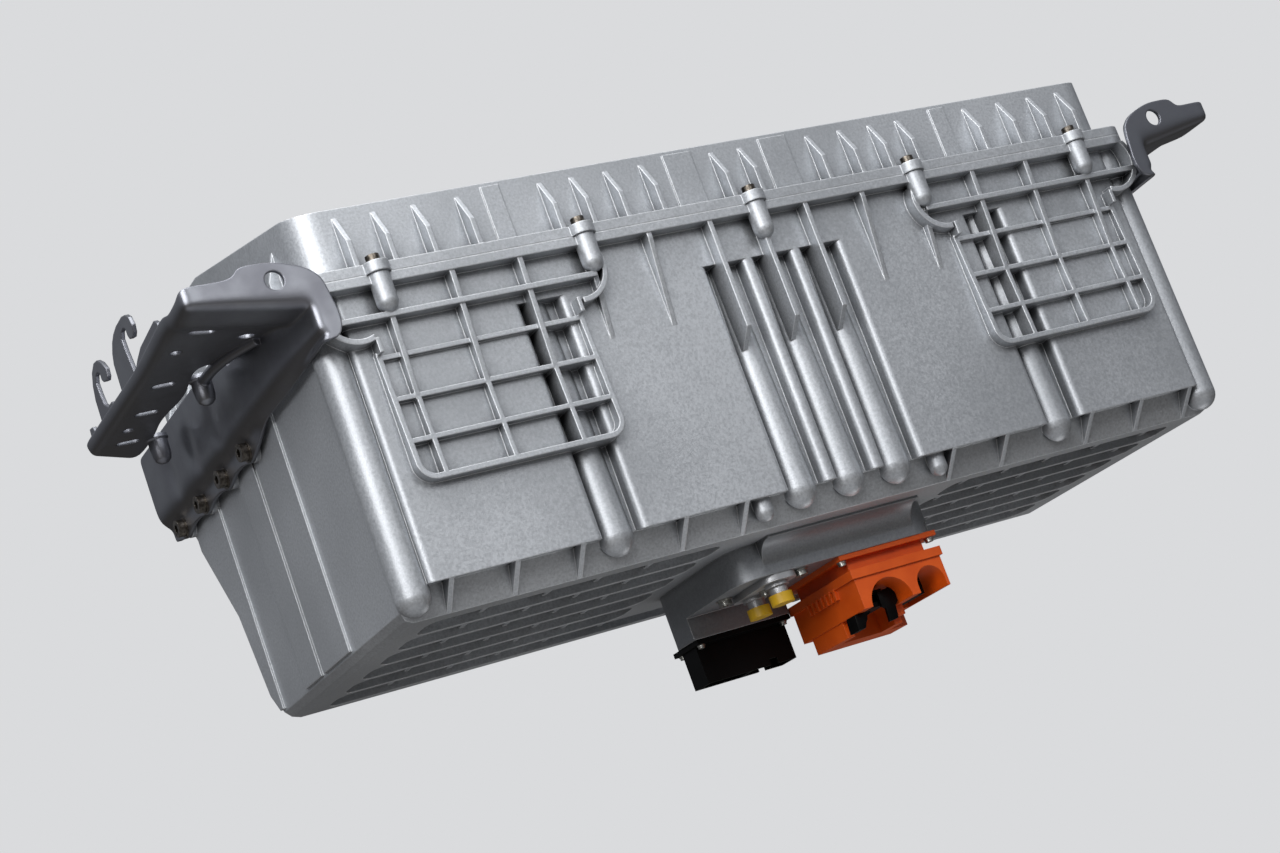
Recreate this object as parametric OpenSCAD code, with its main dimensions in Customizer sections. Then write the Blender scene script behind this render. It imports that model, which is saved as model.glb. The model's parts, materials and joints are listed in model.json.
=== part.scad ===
// High-voltage traction battery pack: die-cast case, steel hangers, connector block and cells.
// The case is drawn about its own joint plane (z = 0, lid above, tub below) and centred in plan.
// CASE_SHIFT then puts the origin midway between the two front mounting holes of the hangers.

/* [Case] */
// Length of the joint flange, left to right
case_l = 742; // [720:1:780]
// Depth of the joint flange, front to back
case_d = 400; // [392:1:420]
// Height of the tub from the joint to its underside
tub_h = 237; // [230:1:250]
// Wall thickness of the tub casting
tub_wall = 4; // [3:0.5:5]
// Thickness of the tub flange
tub_flange_t = 7; // [6:0.5:9]
// Radius of the flange corners
flange_r = 16; // [8:1:24]
// How far the front panels stand behind the flange edge
panel_set = 12; // [10:0.5:14]
// How far the panels stand proud of the wall behind them
panel_proud = 12; // [9:0.5:13]
// Depth of the rib grid under the tub
base_rib_h = 12; // [8:0.5:14]
// Thickness of the cast ribs
rib_t = 4; // [3:0.5:5]

/* [Front ribbing] */
// Distance of the outer flutes from the middle
flute_far = 202; // [200:1:208]
// Distance of the inner flutes from the middle
flute_near = 43.5; // [42:0.5:46]
// How far the flutes stand to the right of the middle
flute_shift = 6; // [0:0.5:8]
// Width of a flute
flute_w = 42; // [38:1:43]
// Radius of the rounded lips of a flute
flute_lip = 5; // [4:0.5:6]
// Radius of the round column inside a flute, at its foot
column_r = 14; // [12:0.5:15]
// The same at its top
column_top_r = 10.5; // [9:0.5:11.5]
// How far the foot of the column stays behind the panels
column_set = 3; // [2:0.5:5]
// Depth below the joint at which the flutes begin
flute_top = 38; // [36:1:46]
// Depth below the joint of the rib that runs along the pockets
pocket_drop = 30; // [26:1:34]
// Inner edge of the rib grid, from the middle
grid_in = 169; // [166:1:172]
// Outer edge of the rib grid, from the middle
grid_out = 334; // [330:1:338]
// Top rib of the grid, below the joint
grid_top = 57; // [54:1:60]
// Height between the ribs of the grid
grid_row = 31.5; // [29:0.5:34]
// Position of the middle upright of the grid
grid_mid = 260; // [256:1:264]
// Pitch of the uprights of the grid
grid_col = 54.5; // [50:0.5:58]
// Length of the short fins below the flange
fin_short = 78; // [60:1:90]
// Length of the long fins below the flange
fin_long = 106; // [100:1:120]
// Where the edge of the long fins turns towards the panels
fin_knee = 93; // [80:1:96]
// Set back of the grid face from the flange edge, at its top row
grid_set_top = 8; // [6:0.5:9]
// The same at its bottom row
grid_set_low = 2.5; // [1:0.5:5]

/* [Joint screws] */
// Outer screws of the long sides, from the middle
screw_far = 315; // [310:1:318]
// Inner screws of the long sides, from the middle
screw_near = 150; // [146:1:154]
// Pitch of the screws on the short sides
screw_end = 112; // [100:1:120]
// Radius of the screw bosses
boss_r = 8; // [7:0.5:9]
// Length of the screw bosses
boss_len = 29; // [26:1:34]
// Shank radius of a joint screw
screw_r = 3; // [2.5:0.5:3]

/* [Lid] */
// Height of the front edge of the lid roof above the joint
lid_front_h = 57; // [50:1:65]
// Height of the roof behind its slope
lid_roof_h = 97; // [85:1:110]
// Wall thickness of the lid casting
lid_wall = 3; // [2.5:0.5:4]
// Thickness of the lid flange
lid_flange_t = 8; // [6:0.5:9]
// How far the lid walls stand behind the flange edge
lid_set = 13; // [11:0.5:15]
// Radius of the upright corners of the lid
lid_r = 22; // [16:1:28]
// Height of the shoulder of the lid gussets
gusset_shoulder = 28; // [22:1:34]
// Height of the tip of the lid gussets
gusset_tip = 50; // [44:1:53]

/* [Hangers] */
// Sheet thickness of the hangers
sheet_t = 3; // [2.5:0.5:4]
// Distance of the mounting hole outside the end of the flange
hang_out = 24; // [20:1:29]
// Radius of the mounting hole
hang_hole_r = 7; // [5:0.5:8]
// Height of the mounting hole above the joint
hang_hole_z = 5; // [3:1:9]
// Distance of the front plate ahead of the flange edge
hang_front = 9; // [8.5:0.5:12]
// Distance of the outer edge of the shelf outside the end of the flange
shelf_out = 81; // [77:1:89]
// Where the outer edge of the shelf ends, behind the middle
shelf_back = 98; // [92:1:110]
// Length of the hanger web behind the middle
web_back = 191; // [186:1:194]
// Pitch of the hanger screws
hang_pitch = 60; // [56:1:62]
// First hanger screw, in front of the middle
hang_first = 18; // [12:1:24]
// Depth of the hanger screws below the joint
hang_drop = 54; // [52:1:57]

/* [Connector block] */
// Left side of the connector housing
block_x0 = -80; // [-84:1:-76]
// Right side of the connector housing
block_x1 = 108; // [106:1:112]
// Front face of the connector housing
block_y0 = -120; // [-124:1:-116]
// Back face of the connector housing
block_y1 = 22; // [20:1:26]
// Drop of its shallow part below the tub
block_drop = 26; // [24:1:30]
// Drop of its deep part below the tub
block_deep = 44; // [40:1:48]
// Wall thickness of the connector housing
block_wall = 4; // [3:0.5:5]
// Radius of its upright corners
block_r = 24; // [18:1:30]

/* [Cells] */
// Cells in a module
cells_n = 9; // [7:1:9]
// Thickness of one cell
cell_t = 13.6; // [12:0.1:13.8]
// Depth of the tub that the cells leave free
cell_free_d = 168; // [164:1:180]
// Height of the tub that the cells leave free
cell_free_h = 119; // [115:1:137]
// Thickness of a module end plate
end_plate_t = 5; // [4:0.5:6]
// Half width of the free channel between the middle modules
channel_half = 32; // [30:1:34]

/* [Hidden] */

$fn = 48;
// small overlap that keeps a cut clear of the face it starts from
cut = 1;
// clearance between a screw shank and its tapped hole
thread_gap = 0.1;
// clearance between loose pieces
seat_gap = 0.3;

half_l = case_l / 2;
half_d = case_d / 2;
CASE_SHIFT = [0, half_d + hang_front, -hang_hole_z];

silver = [0.71, 0.72, 0.73];
silver_dark = [0.60, 0.61, 0.62];
hanger_black = [0.17, 0.17, 0.18];
steel = [0.55, 0.55, 0.54];
plastic_black = [0.07, 0.07, 0.07];
hv_orange = [0.86, 0.31, 0.06];
cap_yellow = [0.88, 0.72, 0.16];
rubber_black = [0.10, 0.10, 0.10];
copper = [0.72, 0.43, 0.27];
cell_blue = [0.30, 0.36, 0.42];
tin = [0.75, 0.75, 0.72];

// Tub section, seen from the right end: y forwards to back, z up, counterclockwise
panel_y = -half_d + panel_set;
wall_y = panel_y + panel_proud;
panel_bottom = -tub_h + 19;
band_in = 24;
back_top_y = half_d - 15;
tub_section = [
    [panel_y, 0], [panel_y, panel_bottom], [wall_y + 2, panel_bottom + 2],
    [panel_y + band_in, -tub_h], [94, -tub_h], [113, -tub_h + 25], [125, -143],
    [back_top_y, -30], [back_top_y, 0]
];
// the same outline with its top raised, so that its inset stays open above
tub_open = [for (p = tub_section) p[1] == 0 ? [p[0], 2 * tub_wall] : p];
floor_z = -tub_h + base_rib_h + tub_wall;
end_wall_x = half_l - 3;
end_panel_x = half_l - 1;
end_low = -tub_h + 8;
// proud zones of the end walls, front to back
end_zones = [[-66, -7], [-1, 37], [95, 160]];
corner_r = 13;
corner_x = half_l - corner_r;
panel_edge_x = corner_x - corner_r + 4;

flutes = [for (x = [-flute_far, -flute_near, 0, flute_near, flute_far]) x + flute_shift];
half_round_x = 80;
band_shift = 4;
front_screws = [-screw_far, -screw_near, 0, screw_near, screw_far];
screw_y = half_d - 2;
end_screw_x = half_l - 9;
end_screws = [-screw_end, 0, screw_end];
hang_screws = [for (i = [0:3]) -hang_first + i * hang_pitch];

// Cross ribs of the underside and the small gussets of the front band share these places
rib_places = [95, 147, 190, 232.5, 284.5, 336];
spread = half_l / 371;
base_ribs = [for (side = [-1, 1], x = rib_places) side * x * spread];
band_gussets = [for (side = [-1, 1], x = rib_places) if (x != 190) side * x * spread + band_shift];
base_rows = 6;
cross_rib_up = 5;
base_y0 = panel_y + band_in + 14;
base_y1 = 88;

// Lid
lid_x = half_l - lid_set + 3;
lid_y = half_d - lid_set;
roof_y = 11;
lid_section = [
    [-lid_y, 0], [lid_y, 0], [lid_y, 62], [lid_y - 40, lid_roof_h],
    [roof_y, lid_roof_h], [-lid_y, lid_front_h]
];
lid_gussets = [for (side = [-1, 1], x = [13, 76, 107, 136, 163, 231, 266, 298, 328]) side * x * spread];
end_gussets = [-140, -84, -28, 28, 84, 140];
lid_steps = [[196, 211], [31, 56]];

// Gasket, and the ledges of tub and lid that carry it
gasket_w = 5;
gasket_h = 2;
gasket_x = half_l - 21.5;
gasket_y = half_d - 9;
ledge_x = gasket_x - gasket_w - 3.5;

// Hangers
hang_x = half_l + hang_out;
shelf_x = half_l + shelf_out;
web_x = half_l + 12.5;
foot_x = half_l + 4;
shelf_z = 1;
front_shelf_z = -4;
front_roll = 8;
edge_roll = 6;
plate_y = -half_d - hang_front;
plate_face = plate_y - sheet_t / 2;
step_y = plate_y + 41;
pegs = [-37, 91];
peg_x = half_l + 30;
hang_screw_r = 4;
foot_y = -hang_first - 18;

// Connector block
block_top = -tub_h;
block_low = block_top - block_drop;
block_low_back = block_top - block_deep;
block_step_y = -25;
block_deep_x = 9.5;
skirt_r = 18;
block_screws = [[-66, -65], [-20, -108], [40, 6], [93, 4]];
floor_win = [[-28, 28], [-97, -5]];
port_x = -42;
port_ys = [-105, -68];
port_r = 7;
port_bore = 5;
hv_x = [11, 97];
hv_y = [-125, -22];
hv_arches = [[40, 19], [79.5, 13]];
lv_x = [-78, 9];
lv_y = [-25, 18];

// Cell modules
cell_d = case_d - cell_free_d;
cell_h = tub_h - cell_free_h;
cell_gap = 0.4;
cell_pitch = cell_t + cell_gap;
module_l = cells_n * cell_pitch - cell_gap + 2 * end_plate_t + 2 * seat_gap;
module_gap = 6;
plate_h = 12;
cell_z = floor_z + plate_h;
cell_y0 = wall_y + 22;
module_x = [
    -channel_half - module_gap - 1.5 * module_l, -channel_half - 0.5 * module_l,
    channel_half + 0.5 * module_l, channel_half + module_gap + 1.5 * module_l
];
plate_x = channel_half + module_gap + 2 * module_l + 2;
end_plate_h = cell_h + 18;
tray_z = cell_z + end_plate_h;
tray_t = 4;
tray_top = tray_z + tray_t;

function unit(v) = v / norm(v);

// A closed counterclockwise outline moved inwards by t
function inset(pts, t) = [
    for (i = [0:len(pts) - 1])
        let (
            a = pts[(i + len(pts) - 1) % len(pts)],
            b = pts[i],
            c = pts[(i + 1) % len(pts)],
            u = unit(b - a),
            v = unit(c - b),
            nu = [-u[1], u[0]],
            nv = [-v[1], v[0]]
        )
        b + (nu + nv) * t / (1 + nu * nv)
];

// Prism of a y-z outline, from x0 to x1
module along_x(pts, x0, x1) {
    translate([x0, 0, 0])
        rotate([90, 0, 90])
            linear_extrude(x1 - x0)
                polygon(pts);
}

// Children drawn in x-z, made into a plate from y0 back to y1
module along_y(y0, y1) {
    translate([0, y1, 0])
        rotate([90, 0, 0])
            linear_extrude(y1 - y0)
                children();
}

module box(x, y, z) {
    translate([x[0], y[0], z[0]])
        cube([x[1] - x[0], y[1] - y[0], z[1] - z[0]]);
}

module rounded(x, y, r) {
    union() {
        translate([x[0] + r, y[0]])
            square([x[1] - x[0] - 2 * r, y[1] - y[0]]);
        translate([x[0], y[0] + r])
            square([x[1] - x[0], y[1] - y[0] - 2 * r]);
        for (cx = [x[0] + r, x[1] - r], cy = [y[0] + r, y[1] - r])
            translate([cx, cy])
                circle(r);
    }
}

// Sheet metal in section: straight runs of thickness t with rounded bends
module bent(path, t) {
    union() {
        for (i = [0:len(path) - 2])
            let (d = path[i + 1] - path[i])
            translate(path[i])
                rotate(atan2(d[1], d[0]))
                    translate([0, -t / 2])
                        square([norm(d), t]);
        for (p = path)
            translate(p)
                circle(t / 2);
    }
}

// Net of ribs, drawn in x-z for the right-hand half
module grid_net() {
    grid_bottom = -grid_top - 3 * grid_row;
    corner = 14;
    union() {
        difference() {
            rounded([grid_in, grid_out], [grid_bottom, -grid_top + corner], corner);
            rounded([grid_in + rib_t, grid_out - rib_t], [grid_bottom + rib_t, -grid_top + corner + cut], corner - rib_t);
            translate([grid_in - cut, -grid_top + 3])
                square([grid_out - grid_in + 2 * cut, corner + 2 * cut]);
        }
        for (i = [0:2])
            translate([grid_in, -grid_top - i * grid_row - rib_t + 1])
                square([grid_out - grid_in, rib_t - 0.5]);
        for (i = [-1:1])
            translate([grid_mid + i * grid_col - rib_t / 2, grid_bottom + rib_t / 2])
                square([rib_t - 0.5, 3 * grid_row]);
    }
}

// Deep ribs around the net: arms and the rib along the pockets
module pocket_ribs() {
    union() {
        // arm that swings from the inner boss into the net
        intersection() {
            translate([screw_near + 17, -tub_flange_t - 16])
                difference() {
                    circle(27);
                    circle(27 - rib_t);
                }
            translate([screw_near - 12, -grid_top + 2])
                square([30, grid_top - tub_flange_t - 5]);
        }
        // arm that swings from the end of the flange into the net
        intersection() {
            translate([grid_out + 8, -21])
                difference() {
                    circle(27);
                    circle(27 - rib_t);
                }
            translate([grid_out - 1, -grid_top])
                square([half_l - grid_out + rib_t, grid_top - tub_flange_t + cut]);
        }
        for (x = [grid_in + 1, grid_out - rib_t])
            translate([x, -grid_top + 1])
                square([rib_t - 1, 11]);
        translate([screw_near, -pocket_drop - rib_t / 2])
            square([half_l - 6 - screw_near, rib_t]);
    }
}

// Fin across x with its outline in y-z
module fin(x, pts) {
    along_x(concat([[wall_y + 1, -tub_flange_t + cut], [-half_d + 1, -tub_flange_t + cut]], pts), x - rib_t / 2, x + rib_t / 2);
}

module front_ribbing() {
    edge = -half_d + 1;
    net_top = -half_d + grid_set_top;
    net_low = -half_d + grid_set_low;
    net_bottom = -grid_top - 3 * grid_row;
    for (side = [0, 1])
        mirror([side, 0, 0]) {
            intersection() {
                along_y(-half_d, wall_y + 1)
                    grid_net();
                along_x([[net_top, -grid_top + 5], [net_low, net_bottom - 1], [wall_y + 1, net_bottom - 1],
                         [wall_y + 1, -grid_top + 5]], 0, half_l);
            }
            along_y(edge, wall_y + 1)
                pocket_ribs();
            for (i = [-1:1])
                fin(grid_mid + i * grid_col, [[edge + 5, -grid_top - grid_row - 4], [wall_y + 1, -grid_top - grid_row - 4]]);
            for (x = [97, screw_near])
                fin(x, [[edge, -tub_flange_t - 4], [panel_y, -fin_short], [wall_y + 1, -fin_short]]);
        }
    for (x = [-flute_near, 0, flute_near])
        fin(x, [[edge, -fin_knee], [panel_y + column_set + 3, -fin_long], [wall_y + 1, -fin_long]]);
}

// Upright round column with a domed lower end
module column(r, low, high) {
    translate([0, 0, low + r])
        cylinder(r = r, h = high - low - r);
    translate([0, 0, low + r])
        sphere(r);
}

module screw_boss() {
    column(boss_r, -boss_len, 0);
}

// Flute in plan: rounded lips, then straight down to the wall
module flute_plan() {
    difference() {
        translate([-flute_w / 2, panel_y - cut])
            square([flute_w, wall_y - panel_y + cut]);
        for (side = [-1, 1])
            translate([side * flute_w / 2, panel_y + flute_lip]) {
                circle(flute_lip);
                translate([-flute_lip, 0])
                    square([2 * flute_lip, wall_y - panel_y]);
            }
    }
}

// Outside of the tub without ribs and flange
module tub_shell() {
    intersection() {
        along_x(tub_section, -half_l, half_l);
        union() {
            box([-end_wall_x, end_wall_x], [wall_y, half_d], [-tub_h, 0]);
            difference() {
                translate([0, 0, -tub_h])
                    linear_extrude(tub_h)
                        difference() {
                            rounded([-panel_edge_x, panel_edge_x], [panel_y, wall_y + 20], flute_lip);
                            translate([-half_l, wall_y + 1])
                                square([case_l, 30]);
                        }
                for (x = flutes)
                    translate([x, 0, -tub_h - cut])
                        linear_extrude(tub_h + cut - flute_top)
                            flute_plan();
            }
            for (side = [-1, 1], y = end_zones)
                box([side * end_panel_x - 8, side * end_panel_x + 8], y, [end_low + 2, 0]);
        }
        // rounded off at the foot of the end walls
        along_y(-half_d, half_d)
            polygon([
                [-end_wall_x + 9, -tub_h], [end_wall_x - 9, -tub_h], [end_wall_x - 3, -tub_h + 2.5],
                [end_wall_x, end_low], [end_panel_x, end_low + 2], [end_panel_x, 0], [-end_panel_x, 0],
                [-end_panel_x, end_low + 2], [-end_wall_x, end_low], [-end_wall_x + 3, -tub_h + 2.5]
            ]);
    }
}

// Room inside the tub: the whole length below the flange, and less of it at the ledge of the seal
module tub_hollow() {
    intersection() {
        along_x(inset(tub_open, tub_wall), -half_l, half_l);
        union() {
            box([-end_wall_x + tub_wall, end_wall_x - tub_wall], [wall_y + tub_wall, half_d],
                [floor_z, -tub_flange_t]);
            box([-ledge_x, ledge_x], [panel_y, half_d], [-tub_flange_t - cut, cut]);
            difference() {
                box([-ledge_x, ledge_x], [panel_y + tub_wall, wall_y + tub_wall + 1], [floor_z, cut]);
                for (x = flutes)
                    box([x - flute_w / 2 - tub_wall, x + flute_w / 2 + tub_wall], [panel_y, wall_y + tub_wall],
                        [-tub_h, -flute_top + tub_wall]);
            }
        }
    }
}

// Long slots in the underside, with lower cross ribs inside them
module base_pockets() {
    row = (base_y1 - base_y0) / base_rows;
    slot_x = half_l - 30;
    difference() {
        for (j = [0:base_rows - 1], part = j < 5 ? [[-slot_x, -98], [116, slot_x]] : [[-slot_x, slot_x]])
            translate([0, 0, -tub_h - cut])
                linear_extrude(base_rib_h + cut)
                    rounded(part, [base_y0 + j * row + rib_t / 2, base_y0 + (j + 1) * row - rib_t / 2], 12);
        for (x = base_ribs)
            box([x - rib_t / 2, x + rib_t / 2], [base_y0, base_y1], [-tub_h + cross_rib_up, -tub_h + base_rib_h + cut]);
    }
}

// Columns in the flutes, wider at the foot, and flush with the wall inside the tub
module flute_columns() {
    foot = -tub_h + 6;
    intersection() {
        for (x = flutes)
            translate([x, panel_y + column_set + column_r, 0]) {
                translate([0, 0, foot + column_r])
                    cylinder(r1 = column_r, r2 = column_top_r, h = -flute_top - foot - column_r);
                translate([0, 0, foot + column_r])
                    sphere(column_r);
            }
        box([-half_l, half_l], [-half_d, wall_y + tub_wall], [-tub_h, 0]);
    }
}

module lower_housing() {
    color(silver)
        difference() {
            union() {
                difference() {
                    union() {
                        tub_shell();
                        translate([0, 0, -tub_flange_t])
                            linear_extrude(tub_flange_t)
                                rounded([-half_l, half_l], [-half_d, half_d], flange_r);
                    }
                    tub_hollow();
                }
                front_ribbing();
                flute_columns();
                for (side = [-1, 1])
                    translate([side * corner_x, panel_y + 2 + corner_r, 0])
                        column(corner_r, -tub_h + 1, -tub_flange_t + cut);
                for (x = band_gussets)
                    along_x([[panel_y, panel_bottom + 1], [panel_y + band_in, -tub_h],
                             [panel_y + band_in + 2, -tub_h + 2], [wall_y + 3, panel_bottom + 1]],
                            x - rib_t / 2, x + rib_t / 2);
                for (side = [-1, 1])
                    translate([side * half_round_x + flute_shift, panel_y + 12, 0])
                        column(7, -tub_h + 3, panel_bottom + 2);
                for (x = front_screws, side = [-1, 1])
                    translate([x, side * screw_y, 0])
                        screw_boss();
                for (x = [-1, 1], y = end_screws)
                    translate([x * end_screw_x, y, 0])
                        screw_boss();
                hanger_pads();
                for (p = block_screws)
                    translate([p[0], p[1], -tub_h + 1])
                        cylinder(r = 8, h = floor_z + tub_h + 5);
            }
            base_pockets();
            box(floor_win[0], floor_win[1], [-tub_h - cut, floor_z + cut]);
            for (y = port_ys)
                translate([port_x, y, -tub_h - cut])
                    cylinder(r = port_r + seat_gap, h = base_rib_h + tub_wall + 2 * cut);
            for (x = front_screws, side = [-1, 1])
                translate([x, side * screw_y, -boss_len + 6])
                    cylinder(r = screw_r, h = boss_len);
            for (x = [-1, 1], y = end_screws)
                translate([x * end_screw_x, y, -boss_len + 6])
                    cylinder(r = screw_r, h = boss_len);
            for (side = [0, 1])
                mirror([side, 0, 0])
                    for (y = hang_screws)
                        translate([half_l + 2.5 + cut, y, -hang_drop])
                            rotate([0, -90, 0])
                                cylinder(r = hang_screw_r, h = 20 + cut);
            for (p = block_screws)
                translate([p[0], p[1], -tub_h - cut])
                    cylinder(r = screw_r, h = floor_z + tub_h);
            gasket_ring(0.25, gasket_h, cut);
        }
}

// Pads on the end walls that carry the hangers
module hanger_pads() {
    for (side = [0, 1])
        mirror([side, 0, 0])
            for (y = hang_screws)
                translate([half_l + 2.5, y, -hang_drop])
                    rotate([0, -90, 0])
                        cylinder(r = 9.5, h = 25);
}

// Ring that lies inside the screws of the joint
module gasket_ring(grow, depth, above) {
    out_x = gasket_x + grow;
    out_y = gasket_y + grow;
    in_x = gasket_x - gasket_w - grow;
    in_y = gasket_y - gasket_w - grow;
    translate([0, 0, -depth])
        linear_extrude(depth + above)
            difference() {
                rounded([-out_x, out_x], [-out_y, out_y], 14);
                rounded([-in_x, in_x], [-in_y, in_y], 9);
            }
}

module lid_gasket() {
    color(rubber_black)
        gasket_ring(0, gasket_h, 0);
}

// One lid gusset: foot on the flange, upright shoulder, slope to a tip on the wall
module gusset(x0, foot, wall) {
    along_x([[wall + 1, lid_flange_t - 1], [wall + 1, gusset_tip], [wall, gusset_tip],
             [foot, gusset_shoulder], [foot, lid_flange_t - 1]],
            x0 - rib_t / 2, x0 + rib_t / 2);
}

module lid_outer(grow) {
    intersection() {
        along_x(inset(lid_section, -grow), -half_l, half_l);
        translate([0, 0, -cut])
            linear_extrude(lid_roof_h + 20)
                rounded([-lid_x - grow, lid_x + grow], [-lid_y - grow, lid_y + grow], lid_r);
    }
}

module lid() {
    color(silver)
        difference() {
            union() {
                intersection() {
                    lid_outer(0);
                    box([-half_l, half_l], [-half_d, half_d], [0, lid_roof_h]);
                }
                linear_extrude(lid_flange_t)
                    rounded([-half_l, half_l], [-half_d, half_d], flange_r);
                for (x = front_screws, side = [-1, 1])
                    translate([x, side * screw_y, 0])
                        cylinder(r = boss_r + 2, h = lid_flange_t);
                for (side = [0, 1])
                    mirror([0, side, 0])
                        for (x = lid_gussets)
                            gusset(x, -half_d + 1, -lid_y);
                for (side = [0, 1])
                    mirror([side, 0, 0])
                        rotate([0, 0, -90])
                            for (y = end_gussets)
                                gusset(y, -half_l + 1, -lid_x);
                // raised strips between the paired step lines
                for (side = [-1, 1], s = lid_steps)
                    let (a = side * s[0], b = side * s[1])
                    box([min(a, b), max(a, b)], [-lid_y - 1.5, -lid_y + 1], [lid_flange_t - 1, lid_front_h - 3]);
                // beads across the roof
                for (x = [-270, -180, -90, 0, 90, 180, 270])
                    along_x([[roof_y - 10, lid_roof_h - 4], [roof_y + 2, lid_roof_h + 2.5], [lid_y - 46, lid_roof_h + 2.5],
                             [lid_y - 42, lid_roof_h - 4]], x - 9, x + 9);
            }
            // room under the roof, and the opening at the ledge of the seal
            intersection() {
                lid_outer(-lid_wall);
                box([-half_l, half_l], [-half_d, half_d], [lid_wall, lid_roof_h]);
            }
            box([-ledge_x, ledge_x], [-lid_y + lid_wall, lid_y - lid_wall], [-cut, lid_wall + cut]);
            for (x = front_screws, side = [-1, 1])
                translate([x, side * screw_y, -cut])
                    cylinder(r = screw_r + 0.3, h = lid_flange_t + 2 * cut);
            for (x = [-1, 1], y = end_screws)
                translate([x * end_screw_x, y, -cut])
                    cylinder(r = screw_r + 0.3, h = lid_flange_t + 2 * cut);
            // flat seats for the heads of the end screws
            for (x = [-1, 1], y = end_screws)
                translate([x * end_screw_x, y, lid_flange_t])
                    cylinder(r = 7, h = 16);
        }
}

// Flanged hexagon-socket screw along -z, its head seat at z = 0
module flange_screw(shank_r, shank_l, head_r, head_h) {
    difference() {
        union() {
            translate([0, 0, -shank_l])
                cylinder(r = shank_r - thread_gap, h = shank_l + 0.5);
            cylinder(r = head_r, h = 1.2);
            cylinder(r = head_r * 0.82, h = head_h);
        }
        translate([0, 0, head_h - shank_r * 0.9])
            cylinder(r = shank_r * 0.9, h = head_h, $fn = 6);
    }
}

module lid_screws() {
    color(steel) {
        for (x = front_screws, side = [-1, 1])
            translate([x, side * screw_y, lid_flange_t])
                flange_screw(screw_r, lid_flange_t + 18, 6.3, 6);
        for (x = [-1, 1], y = end_screws)
            translate([x * end_screw_x, y, lid_flange_t])
                flange_screw(screw_r, lid_flange_t + 18, 6.3, 6);
    }
}

// Two hooks that open to the front, in y-z
hook_a = [
    [-14, 4], [-13, 14], [-14, 33], [-18, 40], [-25, 46], [-33, 49.5], [-43, 51.5], [-60, 52], [-70, 49.5],
    [-77, 45], [-80, 38], [-78, 33], [-73, 31], [-64, 33], [-61, 37], [-61, 42], [-57, 44.5], [-50, 44],
    [-46, 40], [-47, 30], [-49, 20], [-52, 4]
];
hook_b = [
    [51, 4], [50, 29], [46, 39], [39, 47], [29, 51], [20, 50], [12, 45], [6, 38], [7, 32], [11, 30], [19, 32],
    [22, 35], [22, 40], [27, 43], [33, 42], [37, 38], [36, 28], [34, 20], [27, 15], [16, 15], [10, 10], [7, 4]
];

// Inner edge of the shelf strip in plan, from front to back
strip_edge = [
    for (p = [
        [33, -76], [40, -70], [43, -62], [41, -54], [35, -46], [34, -8], [36, 11], [32, 43], [34, 60],
        [38, 68], [37, 76], [32, 84], [33, 119], [32, 132]
    ]) [half_l + p[0], p[1]]
];

// Outline of the front plate in x-z
plate_end_x = half_l + 70;
plate_outline = [
    for (p = [
        [-12, -30], [-8, -6], [-4, 3], [2, 10], [11, 16], [23, 19], [42, 18], [48, 17], [51, 14], [53, 10],
        [65, 9], [69, 6], [70, 3], [70, 2], [13, 2], [5, -30]
    ]) [half_l + p[0], p[1]]
];

// A rolled edge seen in section: quarter ring about the origin, towards -u and -v
module roll(r) {
    intersection() {
        difference() {
            circle(r);
            circle(r - sheet_t);
        }
        translate([-r - cut, -r - cut])
            square([r + cut, r + cut]);
    }
}

module hanger_web() {
    intersection() {
        translate([0, 0, -60])
            linear_extrude(90)
                polygon([
                    [web_x - 8, plate_face + 1], [web_x - 5, plate_y + 20], [web_x + 1.5, plate_y + 90],
                    [web_x + 1.5, web_back], [web_x - 1.5, web_back], [web_x - 1.5, plate_y + 91],
                    [web_x - 8, plate_y + 20], [web_x - 11, plate_face + 1]
                ]);
        along_x([[plate_face, -30], [-60, -hang_drop + 4], [-48, -hang_drop], [foot_y, -hang_drop - 2], [foot_y, -hang_drop + 18],
                 [web_back, -hang_drop + 18], [web_back, 18], [-60, 18], [-70, front_shelf_z + sheet_t],
                 [plate_face, front_shelf_z + sheet_t]], half_l - 10, shelf_x);
    }
}

// Stepped foot below the web, with a lobe round each screw
module hanger_foot() {
    t = sheet_t / 2;
    union() {
        along_y(foot_y, web_back - 2)
            polygon([
                [web_x + t, -hang_drop + 19], [foot_x + t, -hang_drop + 10], [foot_x + t, -hang_drop - 3],
                [foot_x - t, -hang_drop - 3], [foot_x - t, -hang_drop + 11], [web_x - t, -hang_drop + 20]
            ]);
        // joggle between the web and the foot
        translate([0, 0, -hang_drop - 2])
            linear_extrude(21)
                polygon([
                    [web_x - t, foot_y - sheet_t], [web_x + t, foot_y - sheet_t], [web_x + t, foot_y],
                    [foot_x + t, foot_y + 7], [foot_x - t, foot_y + 7], [foot_x - t, foot_y + 5]
                ]);
        for (y = hang_screws)
            translate([foot_x - t, y, -hang_drop])
                rotate([0, 90, 0])
                    cylinder(r = 9, h = sheet_t);
    }
}

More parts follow.
